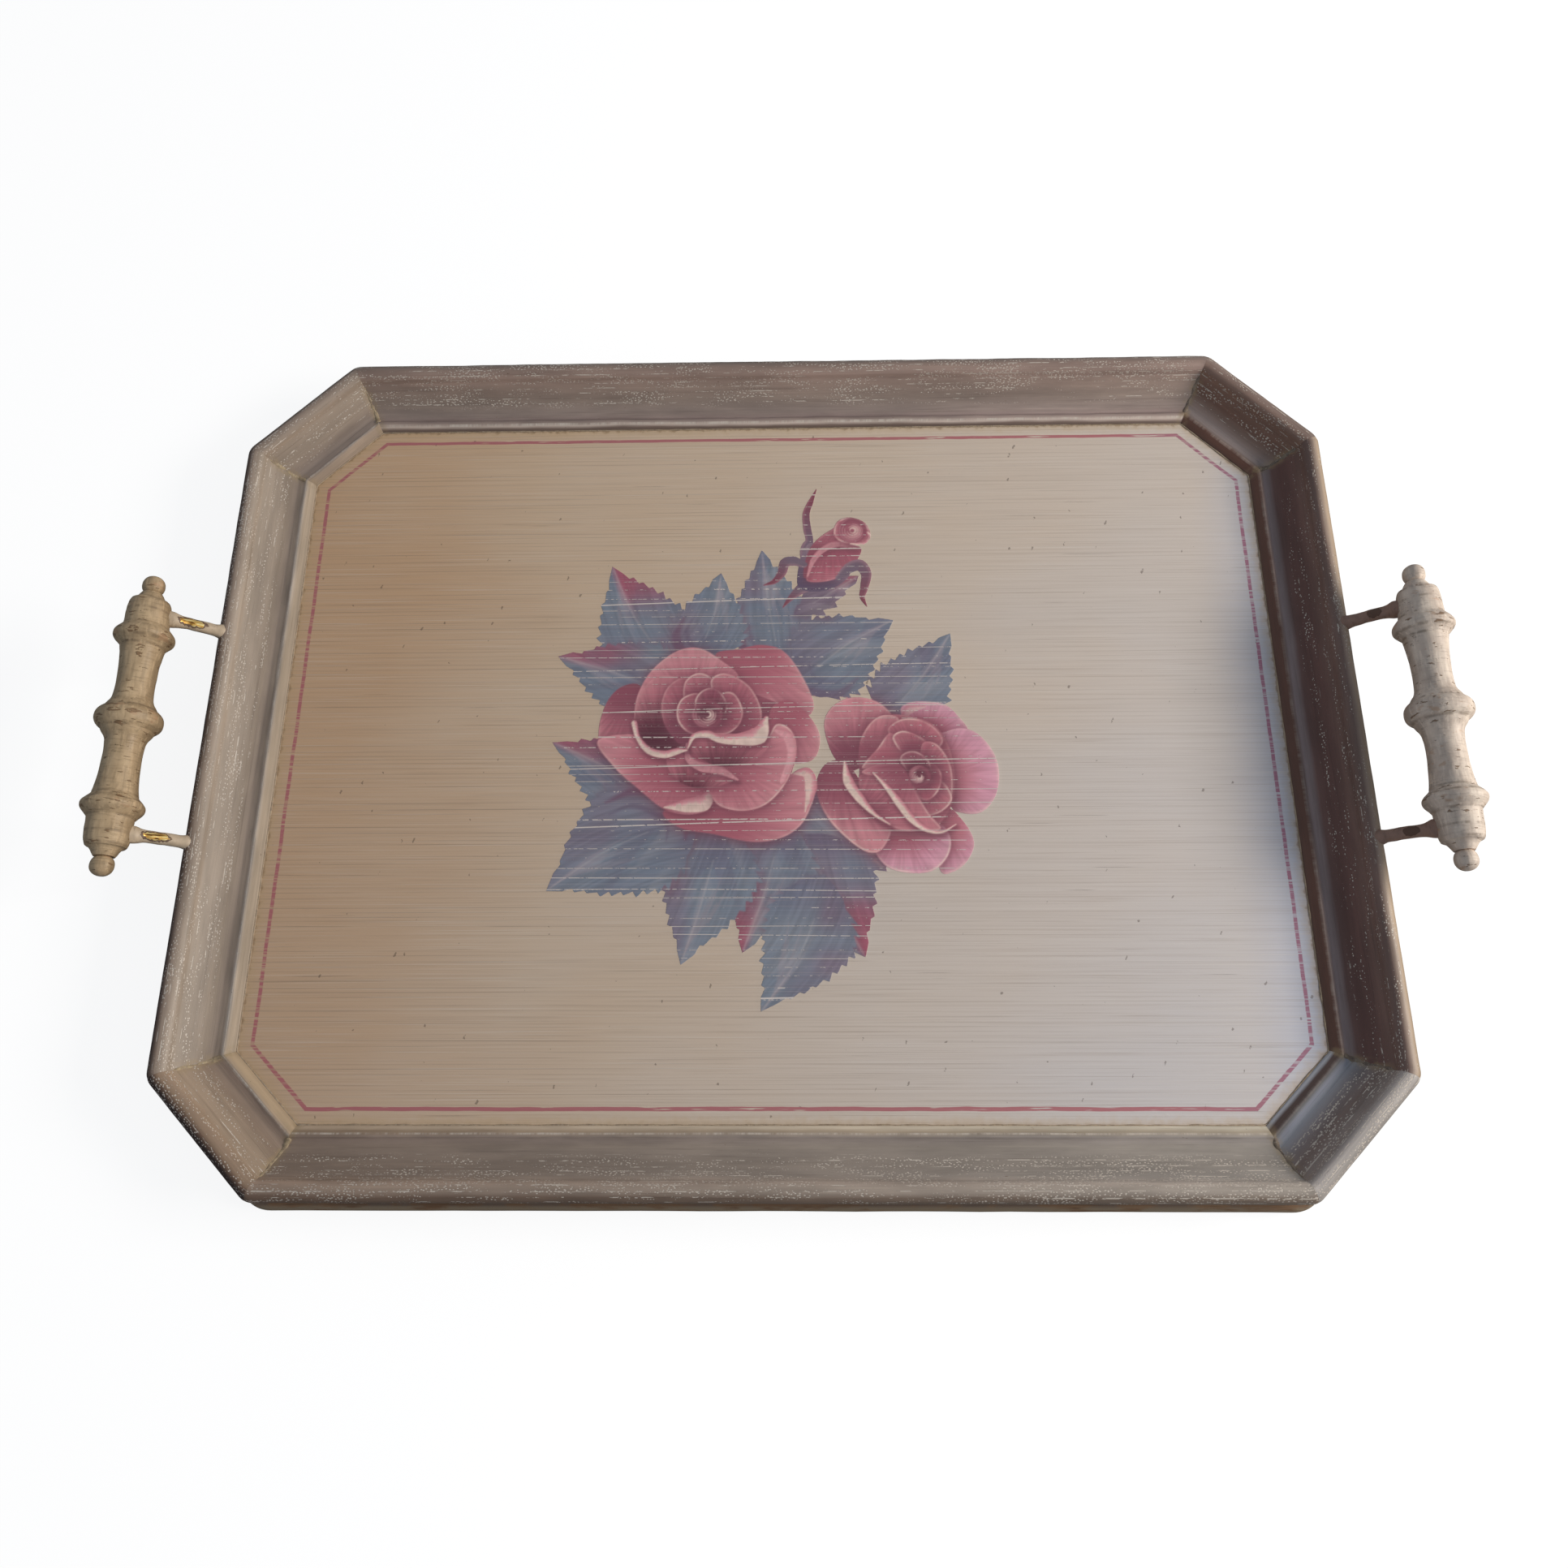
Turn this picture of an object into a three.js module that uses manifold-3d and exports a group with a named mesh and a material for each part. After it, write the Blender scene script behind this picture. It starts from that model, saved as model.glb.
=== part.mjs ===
// A wooden serving tray: a flat board with a gallery of eight mitred mouldings, and two turned
// grips on brass posts. Millimetres. +X runs along the tray from grip to grip, +Z is up, and the
// origin is the middle of the underside.
import * as THREE from "three";
import { mergeVertices } from "three/addons/utils/BufferGeometryUtils.js";
import Module from "manifold-3d";

const wasm = await Module();
wasm.setup();

// Driving dimensions
const GAP = 0.3; // clearance between neighbouring pieces
const WELL_LENGTH = 450; // the painted panel inside the rails, along X
const WELL_WIDTH = 328; // the same along Y
const CORNER_LEG = 29.4; // what each 45 degree corner takes off both sides of the panel
const BOARD_THICKNESS = 8;
const BOARD_LIP = 3.5; // how far the board stands out past the rails
const BOARD_ROUND = 3; // rounding of the board's edge, top and bottom
const BEAD_CENTRE = { out: 24.8, up: 11.2 }; // the round bead along a rail's top, from the panel's edge
const BEAD_RADIUS = 4.4;
const GRIP_OUT = 51.3; // from the panel's edge to a grip's axis
const GRIP_UP = 31; // from the panel to a grip's axis
const GRIP_SHIFT = 1; // the grips sit this far behind the tray's centre line
const GRIP_HALF = 68; // half of a grip's length
const POST_SPACING = 98.6;
const POST_RADIUS = 2.7;
const NAIL = { out: 21.5, leg: 5, thickness: 0.8, height: 7 };
const SCREW = {
  out: 22.8,
  headRadius: 3.6,
  headHeight: 2.4,
  shankRadius: 1.7,
  length: 18,
  recess: 0.4, // how far the head sits up inside the board's underside
};
const SCREW_SLOT = { width: 0.9, depth: 1 };
const SCREW_TURN = 1.3; // radians between one screw's slot and the next one's
const GRIP_SIDES = 20;
const SCREW_SIDES = 12;

const RAIL_FOOT = BOARD_THICKNESS + GAP;
const RAIL_OUT = BEAD_CENTRE.out + BEAD_RADIUS;
const MITRE = Math.PI / 8; // half the turn between two neighbouring rails

const paintedWood = new THREE.MeshStandardMaterial({ color: 0x8a837b, roughness: 0.6 });
const panelPaint = new THREE.MeshStandardMaterial({ color: 0xb9a992, roughness: 0.55 });
const gripPaint = new THREE.MeshStandardMaterial({ color: 0xbfae96, roughness: 0.6 });
const brass = new THREE.MeshStandardMaterial({ color: 0xb08a45, roughness: 0.35, metalness: 1 });
const steel = new THREE.MeshStandardMaterial({ color: 0x8d8f92, roughness: 0.4, metalness: 1 });

// A mesh's closed solid, in the tray's frame.
function solidOf(mesh) {
  mesh.updateWorldMatrix(true, false);
  const geometry = mesh.geometry.clone().applyMatrix4(mesh.matrixWorld);
  geometry.deleteAttribute("normal");
  geometry.deleteAttribute("uv");
  const merged = mergeVertices(geometry, 1e-4);
  const vertProperties = merged.attributes.position.array;
  const triVerts = new Uint32Array(merged.index.array);
  return new wasm.Manifold(new wasm.Mesh({ numProp: 3, vertProperties, triVerts }));
}

function geometryOf(solid) {
  const { numProp, vertProperties, triVerts } = solid.getMesh();
  const geometry = new THREE.BufferGeometry();
  geometry.setAttribute("position", new THREE.BufferAttribute(vertProperties, numProp));
  geometry.setIndex(new THREE.BufferAttribute(triVerts, 1));
  geometry.computeVertexNormals();
  return geometry;
}

// The mesh with every cutter taken out of it, as a new mesh already in the tray's frame.
function carve(mesh, cutters) {
  const left = cutters.reduce((solid, cutter) => solid.subtract(solidOf(cutter)), solidOf(mesh));
  const carved = new THREE.Mesh(geometryOf(left), mesh.material);
  carved.name = mesh.name;
  return carved;
}

// The octagon at a distance outside the panel's edge, anticlockwise from the front end of the right side.
function octagon(out) {
  const x = WELL_LENGTH / 2 + out;
  const y = WELL_WIDTH / 2 + out;
  const leg = CORNER_LEG + out * (2 - Math.SQRT2);
  const corner = [
    new THREE.Vector2(x, y - leg),
    new THREE.Vector2(x - leg, y),
  ];
  const turned = [[1, 1], [-1, 1], [-1, -1], [1, -1]].map(([sx, sy]) => {
    const pair = corner.map((p) => new THREE.Vector2(p.x * sx, p.y * sy));
    return sx * sy > 0 ? pair : pair.reverse();
  });
  return turned.flat();
}

// A rail's section: x is the distance outside the panel's edge, y the height above the rail's foot.
function railSection() {
  const section = new THREE.Shape();
  section.moveTo(0, 0);
  section.lineTo(0, 0.4);
  section.lineTo(3.1, 2.5);
  section.quadraticCurveTo(4.2, 0.9, 8.6, 1);
  section.quadraticCurveTo(15.6, 4.6, 20.3, 10.8);
  const beadStart = THREE.MathUtils.degToRad(160);
  const beadEnd = THREE.MathUtils.degToRad(-35);
  const beadUp = BEAD_CENTRE.up - GAP;
  section.absarc(BEAD_CENTRE.out, beadUp, BEAD_RADIUS, beadStart, beadEnd, true);
  section.lineTo(BEAD_CENTRE.out + BEAD_RADIUS * Math.cos(beadEnd), 0);
  section.closePath();
  return section;
}

// One rail on the side from corner a to corner b, its ends mitred to meet its neighbours.
function railMesh(name, a, b) {
  const length = a.distanceTo(b);
  const geometry = new THREE.ExtrudeGeometry(railSection(), {
    depth: length,
    bevelEnabled: false,
    curveSegments: 9,
  });
  const position = geometry.attributes.position;
  for (let i = 0; i < position.count; i++) {
    const reach = position.getX(i) * Math.tan(MITRE) - GAP / 2;
    position.setZ(i, position.getZ(i) < length / 2 ? -reach : length + reach);
  }
  const outward = new THREE.Vector3(b.y - a.y, a.x - b.x, 0).normalize();
  const up = new THREE.Vector3(0, 0, 1);
  const frame = new THREE.Matrix4().makeBasis(outward, up, outward.clone().cross(up));
  const rail = new THREE.Mesh(geometry, paintedWood);
  rail.name = name;
  rail.quaternion.setFromRotationMatrix(frame);
  rail.position.set(b.x, b.y, RAIL_FOOT);
  return rail;
}

// The board: an octagon with softened corners and a rounded edge.
function boardMesh() {
  const corners = octagon(RAIL_OUT + BOARD_LIP - BOARD_ROUND);
  const softening = 6;
  const outline = new THREE.Shape();
  corners.forEach((corner, i) => {
    const before = corners[(i + 7) % 8];
    const after = corners[(i + 1) % 8];
    const enter = corner.clone().lerp(before, softening / corner.distanceTo(before));
    const leave = corner.clone().lerp(after, softening / corner.distanceTo(after));
    if (i === 0) outline.moveTo(enter.x, enter.y);
    else outline.lineTo(enter.x, enter.y);
    outline.quadraticCurveTo(corner.x, corner.y, leave.x, leave.y);
  });
  outline.closePath();
  const geometry = new THREE.ExtrudeGeometry(outline, {
    depth: BOARD_THICKNESS - 2 * BOARD_ROUND,
    bevelThickness: BOARD_ROUND,
    bevelSize: BOARD_ROUND,
    bevelSegments: 3,
    curveSegments: 3,
  });
  const board = new THREE.Mesh(geometry, panelPaint);
  board.name = "base_board";
  board.position.z = BOARD_ROUND;
  return board;
}

// A turned grip's outline from its middle to its tip: x is the radius, y the distance along the axis.
function gripHalfOutline() {
  const outline = new THREE.Path();
  outline.moveTo(13.2, 0);
  outline.bezierCurveTo(13.2, 2.6, 12.2, 4.4, 10.6, 5);
  outline.lineTo(10.2, 6.4);
  outline.quadraticCurveTo(8, 7.4, 7.6, 10.6);
  outline.quadraticCurveTo(7, 22, 8.2, 31.6);
  outline.lineTo(9.4, 33.4);
  outline.lineTo(9.7, 34.6);
  outline.bezierCurveTo(11.4, 35.4, 12.1, 36.8, 12.1, 38.6);
  outline.bezierCurveTo(12.1, 40.4, 11.4, 41.8, 9.9, 42.8);
  outline.lineTo(9.4, 44);
  outline.quadraticCurveTo(8.5, 44.8, 8.5, 47);
  outline.lineTo(8.5, 53.6);
  outline.quadraticCurveTo(8.2, 56.4, 5.4, 57.6);
  outline.lineTo(4.2, 59.2);
  const ball = 4.6;
  const neck = THREE.MathUtils.degToRad(-50);
  outline.absarc(0, GRIP_HALF - ball, ball, neck, Math.PI / 2, false);
  return outline;
}

function gripMesh(name) {
  const points = gripHalfOutline().getPoints(3);
  const half = points.filter((p, i) => i === 0 || p.distanceTo(points[i - 1]) > 0.05);
  half[half.length - 1].x = 0;
  const mirrored = half.slice(1).reverse().map((p) => new THREE.Vector2(p.x, -p.y));
  const grip = new THREE.Mesh(new THREE.LatheGeometry([...mirrored, ...half], GRIP_SIDES), gripPaint);
  grip.name = name;
  return grip;
}

// A rod along the posts' line: x is the distance outside the panel's edge, z the height above the panel.
// spare lengthens both ends, so that the same rod can also drill its own holes.
function postGeometry(radius, spare) {
  const root = new THREE.Vector3(23.2 - spare, 0, 9.6 - spare);
  const bend = new THREE.Vector3(35.5, 0, 21.9);
  const tip = new THREE.Vector3(48.4 + spare, 0, 29.4 + spare * 0.577);
  const circle = new THREE.Shape();
  circle.absarc(0, 0, radius, 0, 2 * Math.PI, false);
  return new THREE.ExtrudeGeometry(circle, {
    steps: 8,
    extrudePath: new THREE.QuadraticBezierCurve3(root, bend, tip),
    curveSegments: 6,
  });
}

// A framing nail seen from above is a V that straddles the mitre.
function nailGeometry(spare) {
  const halfWidth = NAIL.leg * Math.SQRT1_2;
  const wall = (NAIL.thickness / 2 + spare) * Math.SQRT2;
  const v = new THREE.Shape();
  v.moveTo(-wall, 0);
  v.lineTo(halfWidth, halfWidth + wall);
  v.lineTo(halfWidth + wall, halfWidth);
  v.lineTo(wall, 0);
  v.lineTo(halfWidth + wall, -halfWidth);
  v.lineTo(halfWidth, -halfWidth - wall);
  v.closePath();
  return new THREE.ExtrudeGeometry(v, { depth: NAIL.height + spare, bevelEnabled: false });
}

// A countersunk screw, head down, from the underside of its head. With spare it is the screw's
// hole, which runs on below the head and out of the board.
function screwGeometry(spare) {
  const head = SCREW.headRadius + spare;
  const shank = SCREW.shankRadius + spare;
  const top = SCREW.length + spare;
  const outline = [
    new THREE.Vector2(0, -4 * spare),
    new THREE.Vector2(head, -4 * spare),
    new THREE.Vector2(head, 0.3),
    new THREE.Vector2(shank, SCREW.headHeight),
    new THREE.Vector2(shank, top - 3),
    new THREE.Vector2(0.4, top),
    new THREE.Vector2(0, top),
  ];
  return new THREE.LatheGeometry(outline, SCREW_SIDES).rotateX(Math.PI / 2);
}

function slottedScrewGeometry() {
  const { width, depth } = SCREW_SLOT;
  const slot = new THREE.Mesh(new THREE.BoxGeometry(4 * SCREW.headRadius, width, 2 * depth));
  return carve(new THREE.Mesh(screwGeometry(0)), [slot]).geometry;
}

// The gallery's sides, anticlockwise from the right. Each rail runs between two corners of the octagon.
const SIDES = [
  { name: "right", screws: 2 },
  { name: "back_right", screws: 1 },
  { name: "back", screws: 3 },
  { name: "back_left", screws: 1 },
  { name: "left", screws: 2 },
  { name: "front_left", screws: 1 },
  { name: "front", screws: 3 },
  { name: "front_right", screws: 1 },
];

function placed(geometry, material, name, position, turn = 0) {
  const mesh = new THREE.Mesh(geometry, material);
  mesh.name = name;
  mesh.position.copy(position);
  mesh.rotation.z = turn;
  return mesh;
}

// Screws: evenly spaced along each rail, one pair of a screw and its hole at each place.
function screwsAndHoles() {
  const line = octagon(SCREW.out);
  const places = SIDES.flatMap(({ screws }, side) => {
    const from = line[(side + 7) % 8];
    const to = line[side];
    return Array.from({ length: screws }, (_, i) => from.clone().lerp(to, (i + 0.5) / screws));
  });
  const screw = slottedScrewGeometry();
  const hole = screwGeometry(GAP);
  return places.map((place, i) => {
    const position = new THREE.Vector3(place.x, place.y, SCREW.recess);
    const name = `screw_${String(i + 1).padStart(2, "0")}`;
    const piece = placed(screw, steel, name, position, SCREW_TURN * i);
    return { piece, hole: placed(hole, steel, "", position) };
  });
}

// Framing nails: one across each mitre, its V opening outwards.
function nailsAndPockets() {
  const inner = octagon(0);
  const nail = nailGeometry(0);
  const pocket = nailGeometry(GAP);
  return octagon(NAIL.out).map((corner, i) => {
    const turn = corner.clone().sub(inner[i]).angle();
    const position = new THREE.Vector3(corner.x, corner.y, RAIL_FOOT);
    const piece = placed(nail, steel, `mitre_nail_${i + 1}`, position, turn);
    const below = position.clone().setZ(RAIL_FOOT - GAP / 2);
    return { piece, hole: placed(pocket, steel, "", below, turn) };
  });
}

// Posts: two on each side, each with the bore it sits in.
function postsAndBores() {
  const rod = postGeometry(POST_RADIUS, 0);
  const bore = postGeometry(POST_RADIUS + GAP, GAP + 0.1);
  const hands = [{ side: "left", sign: -1, turn: Math.PI }, { side: "right", sign: 1, turn: 0 }];
  const ends = [{ end: "front", along: -POST_SPACING / 2 }, { end: "back", along: POST_SPACING / 2 }];
  return hands.flatMap(({ side, sign, turn }) => ends.map(({ end, along }) => {
    const position = new THREE.Vector3(sign * WELL_LENGTH / 2, GRIP_SHIFT + along, BOARD_THICKNESS);
    const piece = placed(rod, brass, `post_${side}_${end}`, position, turn);
    return { piece, hole: placed(bore, brass, "", position, turn) };
  }));
}

function grips(bores) {
  return [{ side: "left", sign: -1 }, { side: "right", sign: 1 }].map(({ side, sign }) => {
    const grip = gripMesh(`grip_${side}`);
    grip.position.set(sign * (WELL_LENGTH / 2 + GRIP_OUT), GRIP_SHIFT, BOARD_THICKNESS + GRIP_UP);
    return carve(grip, bores);
  });
}

const screws = screwsAndHoles();
const nails = nailsAndPockets();
const posts = postsAndBores();
const holesOf = (pairs) => pairs.map(({ hole }) => hole);
const railCutters = [...holesOf(screws), ...holesOf(nails), ...holesOf(posts)];
const corners = octagon(0);
const rails = SIDES.map(({ name }, side) =>
  carve(railMesh(`rail_${name}`, corners[(side + 7) % 8], corners[side]), railCutters));

const tray = new THREE.Group();
tray.add(carve(boardMesh(), holesOf(screws)));
tray.add(...rails);
tray.add(...[...nails, ...screws, ...posts].map(({ piece }) => piece));
tray.add(...grips(holesOf(posts)));
export default tray;
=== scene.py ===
"""The looks of the painted gallery tray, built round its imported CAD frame.

Lengths are millimetres until mesh_piece() turns them into metres. +X runs from the left grip to
the right one, +Y to the back, +Z up, and the origin is the middle of the board's underside.
"""
import math
from functools import partial

import bmesh
import bpy
import numpy as np
from mathutils import Euler, Matrix, Vector


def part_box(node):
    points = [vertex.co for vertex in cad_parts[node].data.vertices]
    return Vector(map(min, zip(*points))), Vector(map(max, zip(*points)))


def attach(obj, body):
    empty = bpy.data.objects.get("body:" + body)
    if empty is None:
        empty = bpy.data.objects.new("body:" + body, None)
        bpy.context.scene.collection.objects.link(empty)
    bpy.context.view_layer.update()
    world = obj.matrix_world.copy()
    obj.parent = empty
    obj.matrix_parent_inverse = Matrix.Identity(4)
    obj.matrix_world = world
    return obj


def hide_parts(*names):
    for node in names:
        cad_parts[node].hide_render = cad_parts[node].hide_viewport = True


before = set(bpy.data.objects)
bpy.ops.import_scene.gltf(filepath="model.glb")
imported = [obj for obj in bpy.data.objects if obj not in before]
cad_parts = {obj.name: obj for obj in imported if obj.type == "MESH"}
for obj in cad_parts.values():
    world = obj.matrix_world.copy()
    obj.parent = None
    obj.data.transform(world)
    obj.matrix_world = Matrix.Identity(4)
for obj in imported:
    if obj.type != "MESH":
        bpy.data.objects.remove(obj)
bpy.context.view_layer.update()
MM = 0.001


def box_mm(node):
    """Lowest and highest corner of a CAD node, in millimetres."""
    low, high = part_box(node)
    return np.array(low) / MM, np.array(high) / MM


# ---------------------------------------------------------------- driving dimensions
BOARD_LIP = 3.5  # how far the board stands out past the rails
RAIL_OUT = 29.2  # width of a rail
CORNER_LEG = 29.4  # what each corner takes off both sides of the panel
BOARD_HIGH = box_mm("base_board")[1]
WELL_X = float(BOARD_HIGH[0]) - BOARD_LIP - RAIL_OUT  # half of the painted panel, along X
WELL_Y = float(BOARD_HIGH[1]) - BOARD_LIP - RAIL_OUT
PANEL_Z = BOARD_HIGH[2]
RAIL_FOOT = box_mm("rail_front")[0][2]
MITRE_GAP = 0.02  # left free at each end of a rail
ARRIS_OUT = 4.1  # the sharp edge of a rail's inner step
BEAD = {"out": 24.8, "up": 10.9, "radius": 4.4}
MITRE = math.tan(math.pi / 8)
BOARD_ROUND = 3.0  # radius of the board's edges
CORNER_ROUND = 7.0  # radius of the rails' outer corners
SINK_MOUTH, SINK_FLOOR, SINK_DEPTH = 4.0, 3.4, 1.3  # the recess round a screw: two radii and depth
LINE_FROM, LINE_TO = 5.7, 7.3  # the pink border line's edges, in from the rails
GRIP_LOW, GRIP_HIGH = box_mm("grip_right")
GRIP_AXIS = (GRIP_LOW + GRIP_HIGH) / 2
GRIP_HALF = (GRIP_HIGH[1] - GRIP_LOW[1]) / 2
POST_RADIUS = 2.7

SIDE_NAMES = ["right", "back_right", "back", "back_left", "left", "front_left", "front",
              "front_right"]


# ---------------------------------------------------------------- small numeric helpers
def smooth_noise(x, y, seed):
    """Smooth noise between -1 and 1, with about one bump to each unit of x and y."""
    size = 128
    table = np.random.default_rng(seed).uniform(-1, 1, (size, size))
    x, y = np.broadcast_arrays(np.asarray(x, float), np.asarray(y, float))
    column, row = np.floor(x).astype(int), np.floor(y).astype(int)
    across, along = x - column, y - row
    across = across * across * (3 - 2 * across)
    along = along * along * (3 - 2 * along)
    near = table[column % size, row % size] * (1 - across)
    near = near + table[(column + 1) % size, row % size] * across
    far = table[column % size, (row + 1) % size] * (1 - across)
    far = far + table[(column + 1) % size, (row + 1) % size] * across
    return near * (1 - along) + far * along


def bump_at(x, centre, width):
    """1 at the centre, falling smoothly to 0 a couple of widths away."""
    return np.exp(-(((x - centre) / width) ** 2))


def ease(value, low, high):
    """0 below low and 1 above high, smooth between; low may be above high."""
    t = np.clip((value - low) / (high - low), 0, 1)
    return t * t * (3 - 2 * t)


def blend(a, b, amount):
    """The colour an amount of the way from a to b, or one such colour to each amount."""
    return a + (b - a) * np.asarray(amount)[..., None]


def shade_of(colour, gain):
    """A linear colour made darker or lighter."""
    return tuple(gain * channel for channel in colour)


def linear_light(display):
    """Linear colour from display values between 0 and 1."""
    return np.where(display <= 0.04045, display / 12.92, ((display + 0.055) / 1.055) ** 2.4)


def run_round(outline):
    """How far round a closed outline each of its points lies."""
    return np.cumsum(np.linalg.norm(np.diff(outline, axis=0, prepend=outline[-1:]), axis=1))


def quad_curve(start, handle, end, count):
    """Points along a quadratic curve, without its first one."""
    t = np.linspace(0, 1, count + 1)[1:, None]
    a, b, c = (np.array(p, float) for p in (start, handle, end))
    return (1 - t) ** 2 * a + 2 * t * (1 - t) * b + t**2 * c


def smooth_curve(points, per_span, closed=False):
    """A Catmull-Rom curve through the points."""
    p = np.array(points, float)
    if closed:
        p = np.vstack([p[-1:], p, p[:2]])
    else:
        p = np.vstack([2 * p[0] - p[1], p, 2 * p[-1] - p[-2]])
    t = np.linspace(0, 1, per_span, endpoint=False)[:, None]
    spans = []
    for a, b, c, d in zip(p, p[1:], p[2:], p[3:]):
        spans.append(0.5 * (2 * b + (c - a) * t + (2 * a - 5 * b + 4 * c - d) * t**2
                            + (3 * b - a - 3 * c + d) * t**3))
    if not closed:
        spans.append(p[-2:-1])
    return np.vstack(spans)


def octagon(out):
    """The octagon outside the panel's edge, anticlockwise from the front of the right side."""
    x, y = WELL_X + out, WELL_Y + out
    leg = CORNER_LEG + out * (2 - math.sqrt(2))
    return np.array([(x, leg - y), (x, y - leg), (x - leg, y), (leg - x, y), (-x, y - leg),
                     (-x, leg - y), (leg - x, -y), (x - leg, -y)])


# ---------------------------------------------------------------- mesh helpers
def grid_faces(rows, columns, wrap_rows=False, wrap_columns=False):
    """Quads over a grid of rows x columns points, numbered row by row."""
    r = np.arange(rows if wrap_rows else rows - 1)
    c = np.arange(columns if wrap_columns else columns - 1)
    r0, c0 = (v.ravel() for v in np.meshgrid(r, c, indexing="ij"))
    r1, c1 = (r0 + 1) % rows, (c0 + 1) % columns
    return np.stack([r0 * columns + c0, r0 * columns + c1, r1 * columns + c1,
                     r1 * columns + c0], axis=1)


def add_object(name, data):
    """A new object in the scene, holding a mesh, a lamp or a camera."""
    made = bpy.data.objects.new(name, data)
    bpy.context.scene.collection.objects.link(made)
    return made


def add_attribute(mesh, name, kind, values):
    """Stores a value at each of the mesh's points, for its material to read."""
    layer = mesh.attributes.new(name, kind, "POINT")
    field = {"FLOAT": "value", "FLOAT_VECTOR": "vector", "FLOAT_COLOR": "color"}[kind]
    layer.data.foreach_set(field, np.asarray(values, np.float32).ravel())


def mesh_piece(name, points, faces, material, replaced=(), *, sharp, attributes=()):
    """A shown piece in the tray's frame: points in millimetres, faces as lists of indices, and
    edges that stay sharp above an angle in degrees."""
    mesh = bpy.data.meshes.new(name)
    mesh.from_pydata((np.asarray(points, float) * MM).tolist(), [],
                     [list(map(int, face)) for face in faces])
    mesh.polygons.foreach_set("use_smooth", [True] * len(mesh.polygons))
    mesh.set_sharp_from_angle(angle=math.radians(sharp))
    for attribute in attributes:
        add_attribute(mesh, *attribute)
    mesh.materials.append(material)
    piece = add_object(name, mesh)
    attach(piece, "root")
    if replaced:
        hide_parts(*replaced)
    return piece


def tube(path, radii, sides, flat=1.0):
    """Points and faces of a capped tube along a path, with one radius for each of its points.

    flat squeezes the tube's height, for a ridge of paint."""
    path = np.asarray(path, float)
    ahead = np.gradient(path, axis=0)
    ahead /= np.linalg.norm(ahead, axis=1)[:, None]
    side = np.cross(ahead, (0, 0, 1.0))
    side /= np.maximum(np.linalg.norm(side, axis=1), 1e-6)[:, None]
    top = np.cross(side, ahead)
    angle = np.linspace(0, 2 * math.pi, sides, endpoint=False)
    radii = np.asarray(radii, float)
    if radii.ndim == 1:
        radii = np.repeat(radii[:, None], sides, axis=1)
    ring = (side[:, None] * np.cos(angle)[None, :, None]
            + flat * top[:, None] * np.sin(angle)[None, :, None])
    points = (path[:, None] + ring * radii[:, :, None]).reshape(-1, 3)
    faces = grid_faces(len(path), sides, wrap_columns=True).tolist()
    faces.append(list(range(sides))[::-1])
    faces.append([(len(path) - 1) * sides + i for i in range(sides)])
    return points, faces


# ---------------------------------------------------------------- shader helpers
class Value:
    """A number or colour that a shader works out at each point. Arithmetic adds maths nodes."""

    def __init__(self, graph, socket):
        self.graph = graph
        self.socket = socket

    def __add__(self, other):
        return self.graph.math("ADD", self, other)

    def __radd__(self, other):
        return self.graph.math("ADD", other, self)

    def __sub__(self, other):
        return self.graph.math("SUBTRACT", self, other)

    def __rsub__(self, other):
        return self.graph.math("SUBTRACT", other, self)

    def __mul__(self, other):
        return self.graph.math("MULTIPLY", self, other)

    def __truediv__(self, other):
        return self.graph.math("DIVIDE", self, other)

    def __pow__(self, other):
        return self.graph.math("POWER", self, other)

    def __abs__(self):
        return self.graph.math("ABSOLUTE", self)


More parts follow.
